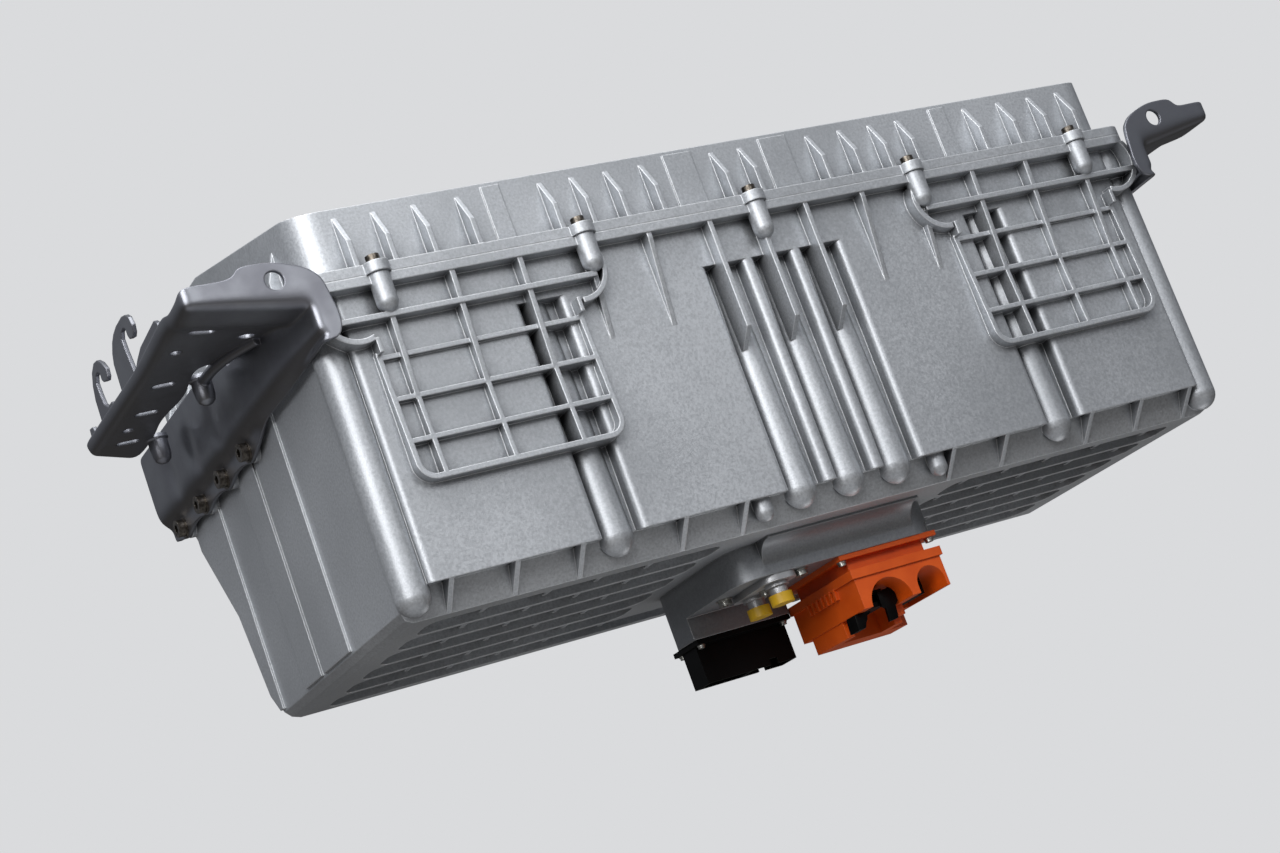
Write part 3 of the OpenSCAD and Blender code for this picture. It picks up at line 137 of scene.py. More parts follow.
def cast_aluminium(name, face, shade, edge, rough, grain, radius):
    """Cast or milled aluminium: satin and speckled, with a painted highlight on its edges and painted shade in
    its corners.
    """
    material, tree, shader = new_material(name)
    place = add(tree, "TexCoord").outputs["Object"]
    rounded = add(tree, "Bevel", {"Radius": radius * MM}, samples=BEVEL_SAMPLES).outputs["Normal"]
    cloud = add(tree, "TexNoise", {"Vector": place, "Scale": per_mm(CAST_CLOUD), "Detail": 3.0,
                                   "Roughness": 0.5})
    # blasted grain is near 0.2 mm across: it is drawn coarser, as it would vanish at the picture's size
    speckle = add(tree, "TexNoise", {"Vector": place, "Scale": per_mm(grain), "Detail": 2.0, "Roughness": 0.7})
    tone = add(tree, "Math", {0: cloud.outputs["Fac"], 1: speckle.outputs["Fac"]}, operation="MULTIPLY")
    pale = add(tree, "MapRange", {"Value": tone.outputs[0], "From Min": 0.12, "From Max": 0.40})
    base = add(tree, "Mix", {"Factor": pale.outputs["Result"], "A": linear(shade), "B": linear(face)},
               data_type="RGBA")
    # painted shade: the colour goes dark where ambient occlusion finds surfaces close by, in corners, recesses
    # and under ribs
    shade_ao = add(tree, "AmbientOcclusion", {"Distance": PAINTED_SHADE_REACH * MM}, samples=PAINTED_SHADE_SAMPLES)
    unshaded_share = add(tree, "MapRange", {"Value": shade_ao.outputs["AO"], "From Min": 0.0, "From Max": 0.75})
    with_painted_shade = add(tree, "Mix", {"Factor": unshaded_share.outputs["Result"], "A": linear(PAINTED_SHADE_COLOUR),
                               "B": base.outputs["Result"]}, data_type="RGBA")
    # the rounded normal leaves the face's own normal only near an edge
    turned_by = add(tree, "VectorMath", {0: add(tree, "NewGeometry").outputs["Normal"], 1: rounded},
                    operation="DOT_PRODUCT")
    near_edge = add(tree, "MapRange", {"Value": turned_by.outputs["Value"], "From Min": 1.0, "From Max": 0.75})
    # painted highlight: near every edge, convex or concave, the colour is lightened towards the edge colour
    painted_highlight = add(tree, "Math", {0: near_edge.outputs["Result"], 1: EDGE_HIGHLIGHT_SHARE}, operation="MULTIPLY")
    colour = add(tree, "Mix", {"Factor": painted_highlight.outputs[0], "A": with_painted_shade.outputs["Result"], "B": linear(edge)},
                 data_type="RGBA")
    roughness = add(tree, "MapRange", {"Value": speckle.outputs["Fac"], "From Min": 0.3, "From Max": 0.7,
                                       "To Min": rough - 0.04, "To Max": rough + 0.06})
    bump = add(tree, "Bump", {"Height": speckle.outputs["Fac"], "Distance": CAST_DEPTH * MM,
                              "Strength": 0.6, "Normal": rounded})
    connect(tree, shader, colour.outputs["Result"], roughness.outputs["Result"], bump.outputs["Normal"])
    shader.inputs["Metallic"].default_value = CAST_METALLIC
    return material


def coated_steel(name, face, shade, rough, metallic, radius):
    """Sheet metal under a thin coat or film: cloudy tone, slight orange peel, a soft broad shine."""
    material, tree, shader = new_material(name)
    place = add(tree, "TexCoord").outputs["Object"]
    rounded = add(tree, "Bevel", {"Radius": radius * MM}, samples=BEVEL_SAMPLES).outputs["Normal"]
    cloud = add(tree, "TexNoise", {"Vector": place, "Scale": per_mm(COAT_CLOUD),
                                   "Detail": 4.0}).outputs["Fac"]
    pale = add(tree, "MapRange", {"Value": cloud, "From Min": 0.35, "From Max": 0.65})
    colour = add(tree, "Mix", {"Factor": pale.outputs["Result"], "A": linear(shade), "B": linear(face)},
                 data_type="RGBA")
    roughness = add(tree, "MapRange", {"Value": cloud, "From Min": 0.35, "From Max": 0.65,
                                       "To Min": rough + 0.04, "To Max": rough - 0.04})
    peel = add(tree, "TexNoise", {"Vector": place, "Scale": per_mm(PEEL), "Detail": 2.0})
    bump = add(tree, "Bump", {"Height": peel.outputs["Fac"], "Distance": PEEL_DEPTH * MM, "Strength": 0.3,
                              "Normal": rounded})
    connect(tree, shader, colour.outputs["Result"], roughness.outputs["Result"], bump.outputs["Normal"])
    shader.inputs["Metallic"].default_value = metallic
    return material


def plated_steel(name, face, shade, rough):
    """Turned, rolled or drawn metal with a thin plating or its own skin: small spots in tone and shine."""
    material, tree, shader = new_material(name)
    place = add(tree, "TexCoord").outputs["Object"]
    rounded = add(tree, "Bevel", {"Radius": PLATED_EDGE * MM}, samples=BEVEL_SAMPLES).outputs["Normal"]
    spots = add(tree, "TexNoise", {"Vector": place, "Scale": per_mm(PLATE_SPOTS),
                                   "Detail": 3.0}).outputs["Fac"]
    pale = add(tree, "MapRange", {"Value": spots, "From Min": 0.35, "From Max": 0.65})
    colour = add(tree, "Mix", {"Factor": pale.outputs["Result"], "A": linear(shade), "B": linear(face)},
                 data_type="RGBA")
    roughness = add(tree, "MapRange", {"Value": spots, "From Min": 0.3, "From Max": 0.7,
                                       "To Min": rough + 0.08, "To Max": rough - 0.05})
    bump = add(tree, "Bump", {"Height": spots, "Distance": PLATE_DEPTH * MM, "Strength": 0.3,
                              "Normal": rounded})
    connect(tree, shader, colour.outputs["Result"], roughness.outputs["Result"], bump.outputs["Normal"])
    shader.inputs["Metallic"].default_value = 1.0
    return material


def moulded_plastic(name, face, shade, rough, radius, ior=1.53, gloss=0.5):
    """Moulded, glazed or enamelled piece: slow change of tone, fine grain and small edge radii."""
    material, tree, shader = new_material(name)
    place = add(tree, "TexCoord").outputs["Object"]
    rounded = add(tree, "Bevel", {"Radius": radius * MM}, samples=BEVEL_SAMPLES).outputs["Normal"]
    flow = add(tree, "TexNoise", {"Vector": place, "Scale": per_mm(MOULD_FLOW),
                                  "Detail": 3.0}).outputs["Fac"]
    pale = add(tree, "MapRange", {"Value": flow, "From Min": 0.3, "From Max": 0.7})
    colour = add(tree, "Mix", {"Factor": pale.outputs["Result"], "A": linear(shade), "B": linear(face)},
                 data_type="RGBA")
    roughness = add(tree, "MapRange", {"Value": flow, "From Min": 0.3, "From Max": 0.7,
                                       "To Min": rough - 0.04, "To Max": rough + 0.04})
    # a spark-eroded mould leaves a grain near 0.1 mm: it is drawn coarser, so that it shows
    grains = add(tree, "TexNoise", {"Vector": place, "Scale": per_mm(MOULD_GRAIN), "Detail": 2.0})
    bump = add(tree, "Bump", {"Height": grains.outputs["Fac"], "Distance": MOULD_DEPTH * MM, "Strength": 0.35,
                              "Normal": rounded})
    connect(tree, shader, colour.outputs["Result"], roughness.outputs["Result"], bump.outputs["Normal"])
    shader.inputs["IOR"].default_value = ior
    shader.inputs["Specular IOR Level"].default_value = gloss
    return material


# the third colour of each casting is that of its painted edge highlight
FINISHES = {
    # shot blasting leaves an even satin grey with a fine speckle
    "die_cast_case": cast_aluminium("aluminium_die_cast_shot_blasted", "#C6C9CD", "#A4A7AB", "#F2F4F6",
                                    0.44, 2.0, 1.3),
    # a casting left as it came from the die is smoother and darker
    "die_cast_block": cast_aluminium("aluminium_die_cast_satin", "#A2A5A9", "#8A8D91", "#D6D8DA",
                                     0.40, 1.8, 1.3),
    # milling leaves a paler, closer surface with crisp edges
    "machined_aluminium": cast_aluminium("aluminium_milled", "#C8C9CB", "#BDBEC0", "#E4E5E6", 0.33, 0.5, 0.4),
    # an electrocoat is thin and even: dark in shade, pale where it mirrors a soft box
    "black_hanger": coated_steel("steel_black_electrocoat", "#8E9096", "#84858C", 0.36, 0.95, 1.6),
    # dark plating goes brownish and spotted
    "dark_steel": plated_steel("steel_dark_plated", "#7A736A", "#4E4943", 0.34),
    # zinc plating is bright with a slightly warm haze
    "zinc_steel": plated_steel("steel_zinc_plated", "#C9C8C2", "#A7A6A0", 0.30),
    # moulded rubber is near black and matt
    "seal_rubber": moulded_plastic("rubber_moulded", "#1A1A1B", "#141415", 0.62, 0.3, 1.52),
    # nylon from a grained mould has a satin shine that hides sink marks
    "orange_plastic": moulded_plastic("nylon_orange_moulded", "#DE5A10", "#D2500B", 0.40, 0.5),
    # the same in black shows little but its edges
    "black_plastic": moulded_plastic("nylon_black_moulded", "#070708", "#040404", 0.45, 0.5, gloss=0.12),
    # moulded polyethylene is waxy and soft at the edges
    "yellow_plastic": moulded_plastic("polyethylene_yellow_moulded", "#DDB122", "#CFA31C", 0.42, 0.5, 1.51),
    # tin plating is pale and faintly yellow
    "tin_plate": plated_steel("copper_tin_plated", "#D2D0C8", "#B9B7AF", 0.26),
    # drawn copper keeps an even, warm shine
    "copper_bar": plated_steel("copper_drawn", "#C98760", "#AE6C47", 0.30),
    # film stretched over a drawn can dulls and colours its shine
    "cell_can": coated_steel("aluminium_can_film_wrapped", "#5A6A7C", "#4E5D6E", 0.42, 0.3, 0.8),
    # glaze on fired steatite is smooth and cream
    "fuse_ceramic": moulded_plastic("steatite_glazed", "#E6E3DA", "#DAD6CB", 0.24, 0.6, 1.56),
    # fired enamel is deep green with a soft gloss
    "resistor_enamel": moulded_plastic("enamel_green_fired", "#4B5F4C", "#3F513F", 0.30, 0.6, 1.55),
}
# shearing leaves the steel bright at the edge of the sheet and in its holes
SHEARED_EDGE = coated_steel("steel_sheared_edge", "#D0D1D5", "#B0B1B6", 0.34, 0.9, 0.5)

for part in frame["record"]["subparts"]:
    node = NODES[part["node"]]
    node.data.materials.clear()
    node.data.materials.append(FINISHES[part["material_slot"]])


def in_frame(point):
    """From millimetres about the case centre to metres in the frame."""
    return (Vector(point) + CASE_SHIFT) * MM


def mesh_object(name, bm):
    """Object made of the faces in a bmesh, with outward normals."""
    bmesh.ops.recalc_face_normals(bm, faces=bm.faces)
    mesh = bpy.data.meshes.new(name)
    bm.to_mesh(mesh)
    bm.free()
    piece = bpy.data.objects.new(name, mesh)
    bpy.context.scene.collection.objects.link(piece)
    return piece


def applied(piece):
    """Turns the modifiers of a piece into its mesh."""
    graph = bpy.context.evaluated_depsgraph_get()
    mesh = bpy.data.meshes.new_from_object(piece.evaluated_get(graph))
    piece.modifiers.clear()
    piece.data = mesh
    return piece


def joined(name, pieces):
    """One object of several meshes."""
    bm = bmesh.new()
    for piece in pieces:
        bm.from_mesh(piece.data)
        bpy.data.objects.remove(piece)
    mesh = bpy.data.meshes.new(name)
    bm.to_mesh(mesh)
    bm.free()
    piece = bpy.data.objects.new(name, mesh)
    bpy.context.scene.collection.objects.link(piece)
    return piece


def smooth(piece, angle=math.radians(32)):
    """Smooth shading, with edges sharper than the angle kept."""
    piece.data.shade_smooth()
    bm = bmesh.new()
    bm.from_mesh(piece.data)
    for edge in bm.edges:
        if len(edge.link_faces) == 2 and edge.calc_face_angle() > angle:
            edge.smooth = False
    bm.to_mesh(piece.data)
    bm.free()


def turned(name, profile, at, axis="Z", steps=28):
    """Solid of revolution: (along the axis, radius) pairs, closed at both ends."""
    bm = bmesh.new()
    rings = []
    for along, radius in profile:
        ring = []
        for i in range(steps):
            a = 2 * math.pi * i / steps
            u, v = radius * math.cos(a), radius * math.sin(a)
            spot = {"X": (along, u, v), "Y": (u, along, v), "Z": (u, v, along)}[axis]
            ring.append(bm.verts.new(in_frame(Vector(at) + Vector(spot))))
        rings.append(ring)
    for low_ring, high_ring in zip(rings, rings[1:]):
        for i in range(steps):
            j = (i + 1) % steps
            bm.faces.new((low_ring[i], low_ring[j], high_ring[j], high_ring[i]))
    bm.faces.new(rings[0])
    bm.faces.new(rings[-1])
    return mesh_object(name, bm)


def slot_solid(name, at, half, radius, depth):
    """Upright prism with round ends: half of its length along x, radius along y."""
    bm = bmesh.new()
    outline = []
    for centre, start in ((half - radius, -90), (radius - half, 90)):
        for i in range(9):
            a = math.radians(start + 22.5 * i)
            outline.append((centre + radius * math.cos(a), radius * math.sin(a)))
    low_ring = [bm.verts.new(in_frame((at[0] + u, at[1] + v, at[2] - depth))) for u, v in outline]
    high_ring = [bm.verts.new(in_frame((at[0] + u, at[1] + v, at[2] + depth))) for u, v in outline]
    for i in range(len(outline)):
        j = (i + 1) % len(outline)
        bm.faces.new((low_ring[i], low_ring[j], high_ring[j], high_ring[i]))
    bm.faces.new(low_ring)
    bm.faces.new(high_ring)
    return mesh_object(name, bm)


def block_solid(name, low_corner, high_corner):
    """Plain box used as a cutter."""
    bm = bmesh.new()
    bmesh.ops.create_cube(bm, size=1.0)
    a, b = in_frame(low_corner), in_frame(high_corner)
    for v in bm.verts:
        v.co = Vector([a[i] if v.co[i] < 0 else b[i] for i in range(3)])
    return mesh_object(name, bm)


def cut(piece, tool, operation):
    """Boolean of a piece with a tool, which is then removed."""
    step = piece.modifiers.new("cut", "BOOLEAN")
    step.operation = operation
    step.object = tool
    step.solver = "EXACT"
    applied(piece)
    bpy.data.objects.remove(tool)


# Hanger: stations along y, columns of the shelf along x (the first follows the fold), in millimetres
HANGER_ROWS = (-209, -203, -190, -172, -163, -130, -100, -70, -52, -36, -18, 0, 12, 24, 42, 60, 72, 84,
               102, 120, 132, 144, 162, 180, 191)
SHELF_COLUMNS = (None, 384, 395, 407, 419.5, 422.5, 440, 453, 460)
INNER_COLUMN, RIM_COLUMN, LIP_COLUMN = 3, 6, 9
WEB_X, FOOT_X, SHELF_X = 383.5, 375.0, 450.5
PLATE_Y, SHEET = -209.0, 3.0
# Rows where the shelf leaves the web and where its strip ends
SPLIT_ROW, STRIP_END_ROW = -70, 84
# Shelf: its level up to the low row and behind it, and how it tilts inwards towards the plate
PLATE_LEVEL, STRIP_LEVEL, LOW_ROW = -2.5, 2.5, -172
TILT, TILT_ROWS, TILT_EDGE_X, TILT_WIDTH = 13, (-180, -60), 458, 80
# Inner edge of the strip: its waves along y, and how far it draws in
WAVE_ROW, WAVE_X, WAVE_HEIGHT, WAVE_START, WAVE_PITCH = -100, 409, 3.5, -60, 17
DRAWN_IN, DRAWN_ROWS = 2.5, (0, 60)
# Outer columns close up behind the wide row; the strip's end runs back at a slant; the edge turns up
WIDE_ROW, CLOSED_UP = -150, 0.7
END_BACK, END_SLANT, STRIP_WIDTH = 14, 34, 45
LIP_OUT, LIP_RISES = 1.5, (6, 9)
# Web: how far its fold leans in, where it dips, where the plain part ends and its top behind the shelf
FOLD_LEAN, LEAN_END = 9, -119
DIP, DIP_END, DIP_FROM_COLUMN = 3, -120, 3
PLAIN_END_ROWS, WEB_TOPS = (-66, -40), (9, 16.5)
HANGER_SCREWS = (-18, 42, 102, 162)
SWAGE_ROWS, SWAGE_DEPTH = (12, 72, 132), 4.0
LOBE, BETWEEN_LOBES = 64.5, 58.5
# How far the shelf swings out towards the plate: the photo shows the left hanger wider
SWING_START, SWING_RIGHT, SWING_LEFT = -60, 1.5, 10.0
# Holes of the shelf, as x, y and reach: a reach above SLOT_FROM is half the length of a slot
HANGER_HOLES = ((434, -155, 9.5), (431, -42, 9.5), (428.5, 17, 9.5), (427, 82, 9.5),
                (441, -113, 5.0), (434.5, 51, 5.0), (397, -137, 6.5))
SLOT_FROM, SLOT_RADIUS, ROUND_HOLE_CLEAR = 8, 4.0, 0.5
# A face whose normal leans less than this towards z is the wall of a hole, or towards x the edge of a hook
UPRIGHT, EDGE_ON = 0.3, 0.5
PLATE_HOLE_AT, PLATE_HOLE_R, TOOL_REACH = (395, PLATE_Y, 5), 7, 20
# Box round the hooks of the solid hanger, which the drawn sheet keeps
HOOKS_LOW, HOOKS_HIGH = (448.8, -300, 7.5), (453, 120, 60)
PEG_PROFILE = ((4.2, 6.5), (4.2, 8.5), (0.8, 9.0), (0.0, 7.8), (-6, 7.8), (-12, 7.4), (-16.0, 6.2),
               (-18.2, 3.6), (-18.8, 1.2))
PEG_X, PEG_ROWS = 401, (-37, 91)
ROLLED_EDGE, ROLLED_R = ((386, -128, -6.5), (391, -112, -4.5), (397, -88, -2.5), (401, -62, -1.0),
                         (401, -40, -2.0)), 4.2
# Tops of the front plate over the shelf's columns, and the inner edge of its tail beside the web
PLATE_TOPS = (12, 15.5, 18.5, 18.8, 19.0, 11, 11, 11.5, 11)
TAIL_EDGE = (359, 358, 357.5, 358, 358.5, 360, 363, 368)
# Names of the four fields of the control net
SHELF, WEB, PLATE, TAIL = "shelf", "web", "plate", "tail"


def ease(value, low, high):
    """0 before low, 1 after high, and a smooth change between them."""
    t = min(1.0, max(0.0, (value - low) / (high - low)))
    return t * t * (3 - 2 * t)


def edge_x(y, swing):
    """Outer edge of the shelf: it swings out towards the front plate."""
    return SHELF_X + swing * max(0.0, (SWING_START - y) / (SWING_START - PLATE_Y))


def fold_x(y):
    """Fold between shelf and web: it leans in towards the front plate."""
    return WEB_X - FOLD_LEAN * (1 - ease(y, PLATE_Y, LEAN_END))


def shelf_row(points, y, swing):
    """Shelf at one station: wide and tilted at the plate, then a wavy strip with a turned-up outer edge."""
    level = PLATE_LEVEL if y <= LOW_ROW else STRIP_LEVEL
    out = edge_x(y, swing)
    wave = WAVE_X + WAVE_HEIGHT * math.cos((y - WAVE_START) / WAVE_PITCH) - DRAWN_IN * ease(y, *DRAWN_ROWS)
    tilt = TILT * (1 - ease(y, *TILT_ROWS))
    for c, x in enumerate(SHELF_COLUMNS):
        if y > SPLIT_ROW and (c < INNER_COLUMN or y > STRIP_END_ROW):
            continue
        if c == 0:
            x = fold_x(y)
        elif c >= RIM_COLUMN:
            x = out - (SHELF_COLUMNS[-1] - x) * (CLOSED_UP if y > WIDE_ROW else 1.0)
        elif c == INNER_COLUMN and y > WAVE_ROW:
            x = wave
        back = END_BACK + END_SLANT * (out - x) / STRIP_WIDTH if y == STRIP_END_ROW else 0.0
        inner = min(1.0, max(0.0, (TILT_EDGE_X - x) / TILT_WIDTH))
        points[SHELF, y, c] = (x, y + back, level - tilt * inner)
    if PLATE_Y < y <= STRIP_END_ROW:
        back = END_BACK if y == STRIP_END_ROW else 0
        for step, rise in enumerate(LIP_RISES):
            points[SHELF, y, LIP_COLUMN + step] = (out + LIP_OUT, y + back, level + rise)


def web_row(points, y):
    """Web at one station, from the fold down: plain at the plate, swaged and lobed where the screws sit."""
    front = 1 - ease(y, *PLAIN_END_ROWS)
    swage = SWAGE_DEPTH if y in SWAGE_ROWS else 0.0
    lobe = LOBE if y in HANGER_SCREWS else BETWEEN_LOBES
    dip = DIP * (1 - ease(y, PLATE_Y, DIP_END))
    x = fold_x(y)
    front_profile = [(x, -2.5), (x, -20), (x, -27), (x, -33), (x - 1, -38), (x - 4, -42),
                     (max(x - 8, 373.6), -45), (max(x - 10, 373.0), -46.5)]
    foot_profile = [(x, 2.5), (x - swage, -8), (x - swage, -22), (x - swage * 0.6, -34),
                    (x - 2.0, -40.5), (FOOT_X + 0.4, -46), (FOOT_X, -52), (FOOT_X, -lobe)]
    for c, (a, b) in enumerate(zip(front_profile, foot_profile)):
        points[WEB, y, c] = (a[0] * front + b[0] * (1 - front), y,
                             a[1] * front + b[1] * (1 - front) + (dip if c > DIP_FROM_COLUMN else 0))
    if y > SPLIT_ROW:
        for c, top in zip((-1, -2), WEB_TOPS):
            points[WEB, y, c] = (x, y, top)
    else:
        points[WEB, y, 0] = points[SHELF, y, 0]


def plate_and_tail(points):
    """Front plate above the fold, and its tail on the inner side of the web."""
    for c, top in enumerate(PLATE_TOPS):
        base = points[SHELF, PLATE_Y, c]
        points[PLATE, c, 0] = base
        points[PLATE, c, 1] = (base[0], PLATE_Y, 4.5 if c < 7 else 2.5)
        points[PLATE, c, 2] = (base[0], PLATE_Y, top)
    for c, x in enumerate(TAIL_EDGE):
        points[TAIL, c, 0] = points[WEB, PLATE_Y, c]
        z = points[WEB, PLATE_Y, c][2]
        points[TAIL, c, 1] = (367 if c < 7 else 371, PLATE_Y, z)
        points[TAIL, c, 2] = (x, PLATE_Y, z)
    for c, level, ends in ((-1, 1, ((367, 3), (361, 1))), (-2, 2, ((369, 9), (365, 5)))):
        points[TAIL, c, 0] = points[PLATE, 0, level]
        for step, (x, z) in enumerate(ends):
            points[TAIL, c, step + 1] = (x, PLATE_Y, z)


def hanger_cage(swing):
    """Control net of the drawn sheet of a right-hand hanger, in millimetres about the case centre."""
    points, faces = {}, []
    for y in HANGER_ROWS:
        shelf_row(points, y, swing)
        web_row(points, y)
    plate_and_tail(points)

    def quad(*keys):
        if all(k in points for k in keys):
            faces.append([points[k] for k in keys])

    for y, following in zip(HANGER_ROWS, HANGER_ROWS[1:]):
        for c in range(LIP_COLUMN + 1):
            quad((SHELF, y, c), (SHELF, y, c + 1), (SHELF, following, c + 1), (SHELF, following, c))
        for c in range(-2, len(TAIL_EDGE) - 1):
            quad((WEB, y, c), (WEB, following, c), (WEB, following, c + 1), (WEB, y, c + 1))
    for field, columns in ((PLATE, range(len(PLATE_TOPS) - 1)), (TAIL, range(-2, len(TAIL_EDGE) - 1))):
        for c in columns:
            for k in range(2):
                quad((field, c, k), (field, c, k + 1), (field, c + 1, k + 1), (field, c + 1, k))
    # closed outer corner between the plate and the turned-up edge
    first, second = HANGER_ROWS[:2]
    quad((SHELF, first, 8), (PLATE, 8, 1), (SHELF, second, 9), (SHELF, second, 8))
    quad((PLATE, 8, 1), (PLATE, 8, 2), (SHELF, second, 10), (SHELF, second, 9))
    return faces


def drawn_sheet(swing):
    """The sheet of a right-hand hanger, smoothed, thickened and pierced."""
    bm = bmesh.new()
    for corners in hanger_cage(swing):
        bm.faces.new([bm.verts.new(in_frame(c)) for c in corners])
    bmesh.ops.remove_doubles(bm, verts=bm.verts, dist=0.05 * MM)
    bmesh.ops.recalc_face_normals(bm, faces=bm.faces)
    sheet = mesh_object("hanger_sheet", bm)
    curve = sheet.modifiers.new("drawn", "SUBSURF")
    curve.levels = curve.render_levels = 2
    thick = sheet.modifiers.new("thick", "SOLIDIFY")
    thick.thickness = SHEET * MM
    thick.offset = 0.0
    thick.use_even_offset = True
    thick.material_offset_rim = 1
    applied(sheet)
    tool = turned("tool", ((-TOOL_REACH, PLATE_HOLE_R), (TOOL_REACH, PLATE_HOLE_R)), PLATE_HOLE_AT, "Y", 40)
    cut(sheet, tool, "DIFFERENCE")
    for x, y, reach in HANGER_HOLES:
        if reach > SLOT_FROM:
            tool = slot_solid("tool", (x, y, 0), reach, SLOT_RADIUS, TOOL_REACH)
        else:
            radius = reach - ROUND_HOLE_CLEAR
            tool = turned("tool", ((-TOOL_REACH, radius), (TOOL_REACH, radius)), (x, y, 0), "Z", 32)
        cut(sheet, tool, "DIFFERENCE")
    # walls of the holes are sheared: second material
    for face in sheet.data.polygons:
        spot = face.center / MM - CASE_SHIFT
        if abs(face.normal.z) < UPRIGHT and any((spot - Vector((x, y, spot.z))).length < reach
                                                for x, y, reach in HANGER_HOLES):
            face.material_index = 1
    return sheet


def kept_hooks(swing):
    """Hooks of the solid hanger, moved out with the shelf's edge; their edges are sheared."""
    hooks = bpy.data.objects.new("hooks", NODES["right_bracket"].data.copy())
    bpy.context.scene.collection.objects.link(hooks)
    cut(hooks, block_solid("tool", HOOKS_LOW, HOOKS_HIGH), "INTERSECT")
    for v in hooks.data.vertices:
        v.co.x += (edge_x((v.co.y / MM) - CASE_SHIFT.y, swing) - SHELF_X) * MM
    for face in hooks.data.polygons:
        face.material_index = int(abs(face.normal.x) < EDGE_ON)
    return hooks


def hanger(name, swing):
    """Right-hand hanger: drawn sheet with its holes, hooks of the turned-up edge, rolled edge and two pegs."""
    sheet = drawn_sheet(swing)
    hooks = kept_hooks(swing)
    pegs = [turned("peg", PEG_PROFILE, (PEG_X, y, 0)) for y in PEG_ROWS]
    return joined(name, [sheet, hooks, tube("rolled_edge", ROLLED_EDGE, ROLLED_R), *pegs])


def tube(name, points, radius):
    """Round bar along a smooth run of points."""
    curve = bpy.data.curves.new(name, "CURVE")
    curve.dimensions = "3D"
    curve.bevel_depth = radius * MM
    curve.bevel_resolution = 4
    curve.use_fill_caps = True
    line = curve.splines.new("NURBS")
    line.points.add(len(points) - 1)
    for spot, at in zip(line.points, points):
        spot.co = (*in_frame(at), 1)
    line.order_u = 3
    line.use_endpoint_u = True
    run = bpy.data.objects.new(name, curve)
    bpy.context.scene.collection.objects.link(run)
    mesh = bpy.data.meshes.new_from_object(run.evaluated_get(bpy.context.evaluated_depsgraph_get()))
    bpy.data.objects.remove(run)
    piece = bpy.data.objects.new(name, mesh)
    bpy.context.scene.collection.objects.link(piece)
    return piece


def mirrored(piece, name):
    """Left-hand copy of a piece."""
    mesh = piece.data.copy()
    bpy.data.objects.remove(piece)
    mesh.transform(Matrix.Scale(-1, 4, (1, 0, 0)))
    mesh.flip_normals()
    copy = bpy.data.objects.new(name, mesh)
    bpy.context.scene.collection.objects.link(copy)
    return copy


def make_hangers():
    """Both hangers, each in place of its solid: the left one is built on the right and mirrored."""
    right = hanger("hanger_right_drawn", SWING_RIGHT)
    left = mirrored(hanger("hanger_to_mirror", SWING_LEFT), "hanger_left_drawn")
    for piece, node in ((right, "right_bracket"), (left, "left_bracket")):
        smooth(piece)
        piece.data.materials.clear()
        piece.data.materials.append(FINISHES["black_hanger"])
        piece.data.materials.append(SHEARED_EDGE)
        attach(piece, ROOT)
        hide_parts(node)


# Inserts of the large plug arch: outline in x and z, and their run along y, in millimetres
SHUTTER_OUTLINE = ((41, -295), (55, -294), (57, -298), (57, -306), (53.5, -309), (52, -319), (43, -320),
                   (44, -309), (41, -307))
SHUTTER_RUN = (-103.9, -101.1)
SLIDE_OUTLINE = ((12, -308.2), (27, -308.2), (26.5, -310), (23, -311), (22, -314), (20, -316), (18, -320),
                 (11, -320.5))
SLIDE_RUN = (-108, -94)
INSERT_EDGE = 0.5


def prism(name, outline, near, far, radius):
    """Moulded block: outline in x and z, run from near to far along y, with rounded edges."""
    bm = bmesh.new()
    rings = [[bm.verts.new(in_frame((x, y, z))) for x, z in outline] for y in (near, far)]
    for i in range(len(outline)):
        j = (i + 1) % len(outline)
        bm.faces.new((rings[0][i], rings[0][j], rings[1][j], rings[1][i]))
    bm.faces.new(rings[0])
    bm.faces.new(rings[1])
    piece = mesh_object(name, bm)
    step = piece.modifiers.new("rounded", "BEVEL")
    step.width = radius * MM
    step.segments = 2
    return applied(piece)


def make_header_keys():
    """Black keyed shutter in the large plug arch, and the lock slide under it."""
    shutter = prism("hv_shutter_key", SHUTTER_OUTLINE, *SHUTTER_RUN, INSERT_EDGE)
    slide = prism("hv_lock_slide", SLIDE_OUTLINE, *SLIDE_RUN, INSERT_EDGE)
    for piece in (shutter, slide):
        smooth(piece)
        piece.data.materials.append(FINISHES["black_plastic"])
        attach(piece, ROOT)


def make_camera():
    """Camera where the photographer stood: below the part, turned and rolled."""
    data = bpy.data.cameras.new("camera")
    data.lens = CAMERA_LENS
    data.sensor_width = SENSOR_WIDTH
    data.clip_start = NEAR_CLIP
    data.clip_end = FAR_CLIP
    camera = bpy.data.objects.new("camera", data)
    bpy.context.scene.collection.objects.link(camera)
    back = CAMERA_RIGHT.cross(CAMERA_UP).normalized()
    turn = Matrix((CAMERA_RIGHT.normalized(), CAMERA_UP.normalized(), back)).transposed()
    camera.matrix_world = Matrix.Translation(CAMERA_AT) @ turn.to_4x4()
    bpy.context.scene.camera = camera


def soft_box(name, at, target, size, watts):
    """White rectangular light that points at a target."""
    data = bpy.data.lights.new(name, "AREA")
    data.shape = "RECTANGLE"
    data.size, data.size_y = size
    data.energy = watts
    light = bpy.data.objects.new(name, data)
    light.location = at
    light.rotation_mode = "QUATERNION"
    light.rotation_quaternion = (Vector(target) - Vector(at)).to_track_quat("-Z", "Y")
    bpy.context.scene.collection.objects.link(light)


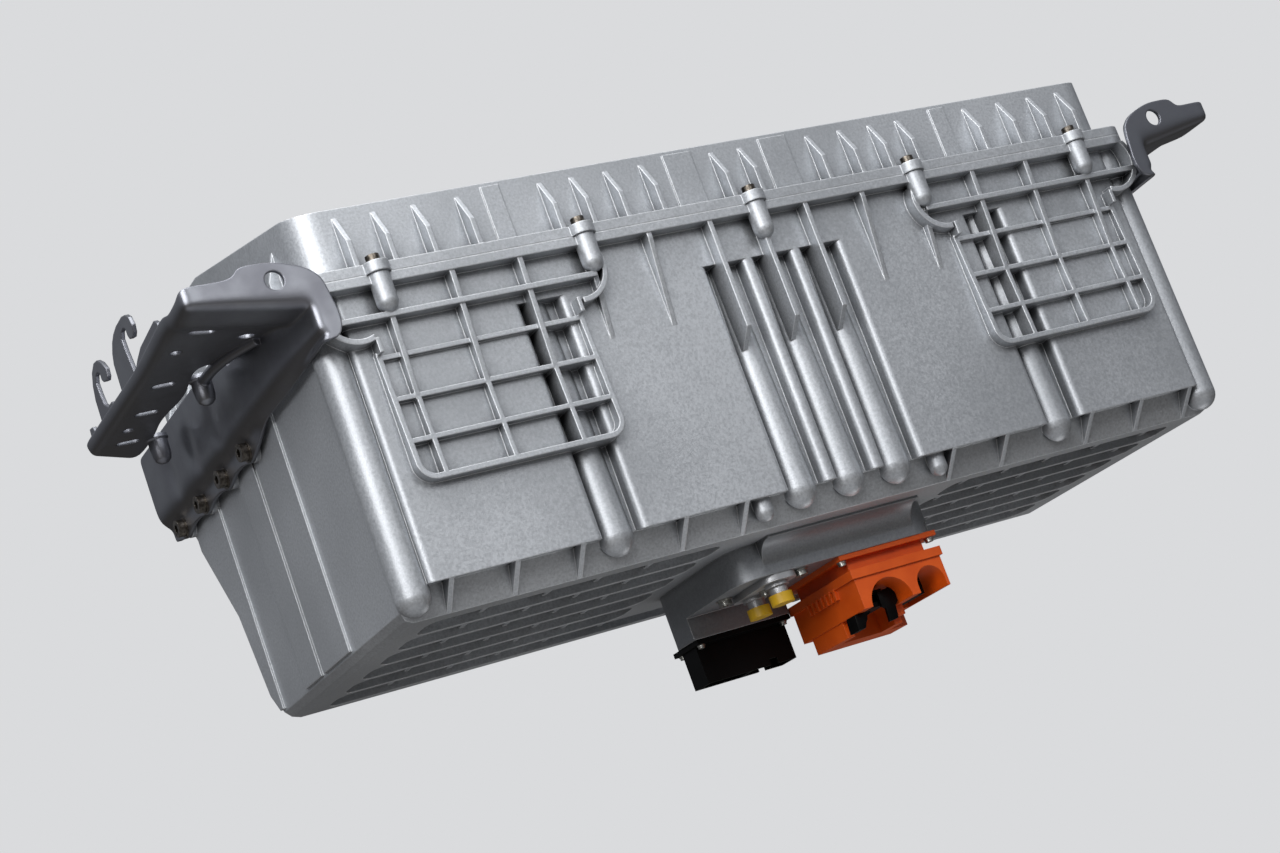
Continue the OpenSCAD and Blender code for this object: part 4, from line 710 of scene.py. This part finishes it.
def make_world():
    """Pale backdrop for the camera; what lights the part changes with height and side."""
    world = bpy.data.worlds.new("studio")
    world.use_nodes = True
    bpy.context.scene.world = world
    tree = world.node_tree
    tree.nodes.clear()
    heading = add(tree, "TexCoord").outputs["Generated"]
    height = add(tree, "MapRange", {"Value": add(tree, "SeparateXYZ", {0: heading}).outputs["Z"],
                                    "From Min": -1.0, "From Max": 1.0})
    ramp = add(tree, "ValToRGB", {"Fac": height.outputs["Result"]})
    for _ in WORLD_STOPS[2:]:
        ramp.color_ramp.elements.new(0.5)
    for stop, (level, colour) in zip(ramp.color_ramp.elements, WORLD_STOPS):
        stop.position = (level + 1) / 2
        stop.color = linear(colour)
    side = add(tree, "VectorMath", {0: heading, 1: BRIGHT_SIDE}, operation="DOT_PRODUCT")
    strength = add(tree, "MapRange", {"Value": side.outputs["Value"], "From Min": -SIDE_REACH,
                                      "From Max": SIDE_REACH, "To Min": LEVELS[0], "To Max": LEVELS[1]})
    fill = add(tree, "Background", {"Color": ramp.outputs["Color"], "Strength": strength.outputs["Result"]})
    wall = add(tree, "Background", {"Color": linear(BACKDROP), "Strength": 1.0})
    choose = add(tree, "MixShader", {0: add(tree, "LightPath").outputs["Is Camera Ray"],
                                     1: fill.outputs[0], 2: wall.outputs[0]})
    add(tree, "OutputWorld", {"Surface": choose.outputs[0]})


def make_floor():
    """Plain pale floor far below the part, seen by the camera only."""
    half = FLOOR_HALF
    mesh = bpy.data.meshes.new("floor")
    corners = [(x, y, FLOOR_Z) for x, y in ((-half, -half), (half, -half), (half, half), (-half, half))]
    mesh.from_pydata(corners, [], [(0, 1, 2, 3)])
    floor = bpy.data.objects.new("floor", mesh)
    bpy.context.scene.collection.objects.link(floor)
    material, _, shader = new_material("floor_paper")
    shader.inputs["Base Color"].default_value = linear(FLOOR_PAPER)
    shader.inputs["Roughness"].default_value = FLOOR_ROUGHNESS
    shader.inputs["Emission Color"].default_value = linear(BACKDROP)
    shader.inputs["Emission Strength"].default_value = FLOOR_GLOW
    mesh.materials.append(material)
    floor.visible_diffuse = False
    floor.visible_glossy = False
    floor.visible_shadow = False


make_hangers()
make_header_keys()
make_camera()
make_world()
make_floor()
for box in SOFT_BOXES:
    soft_box(*box)
bpy.context.scene.view_settings.view_transform = "Standard"
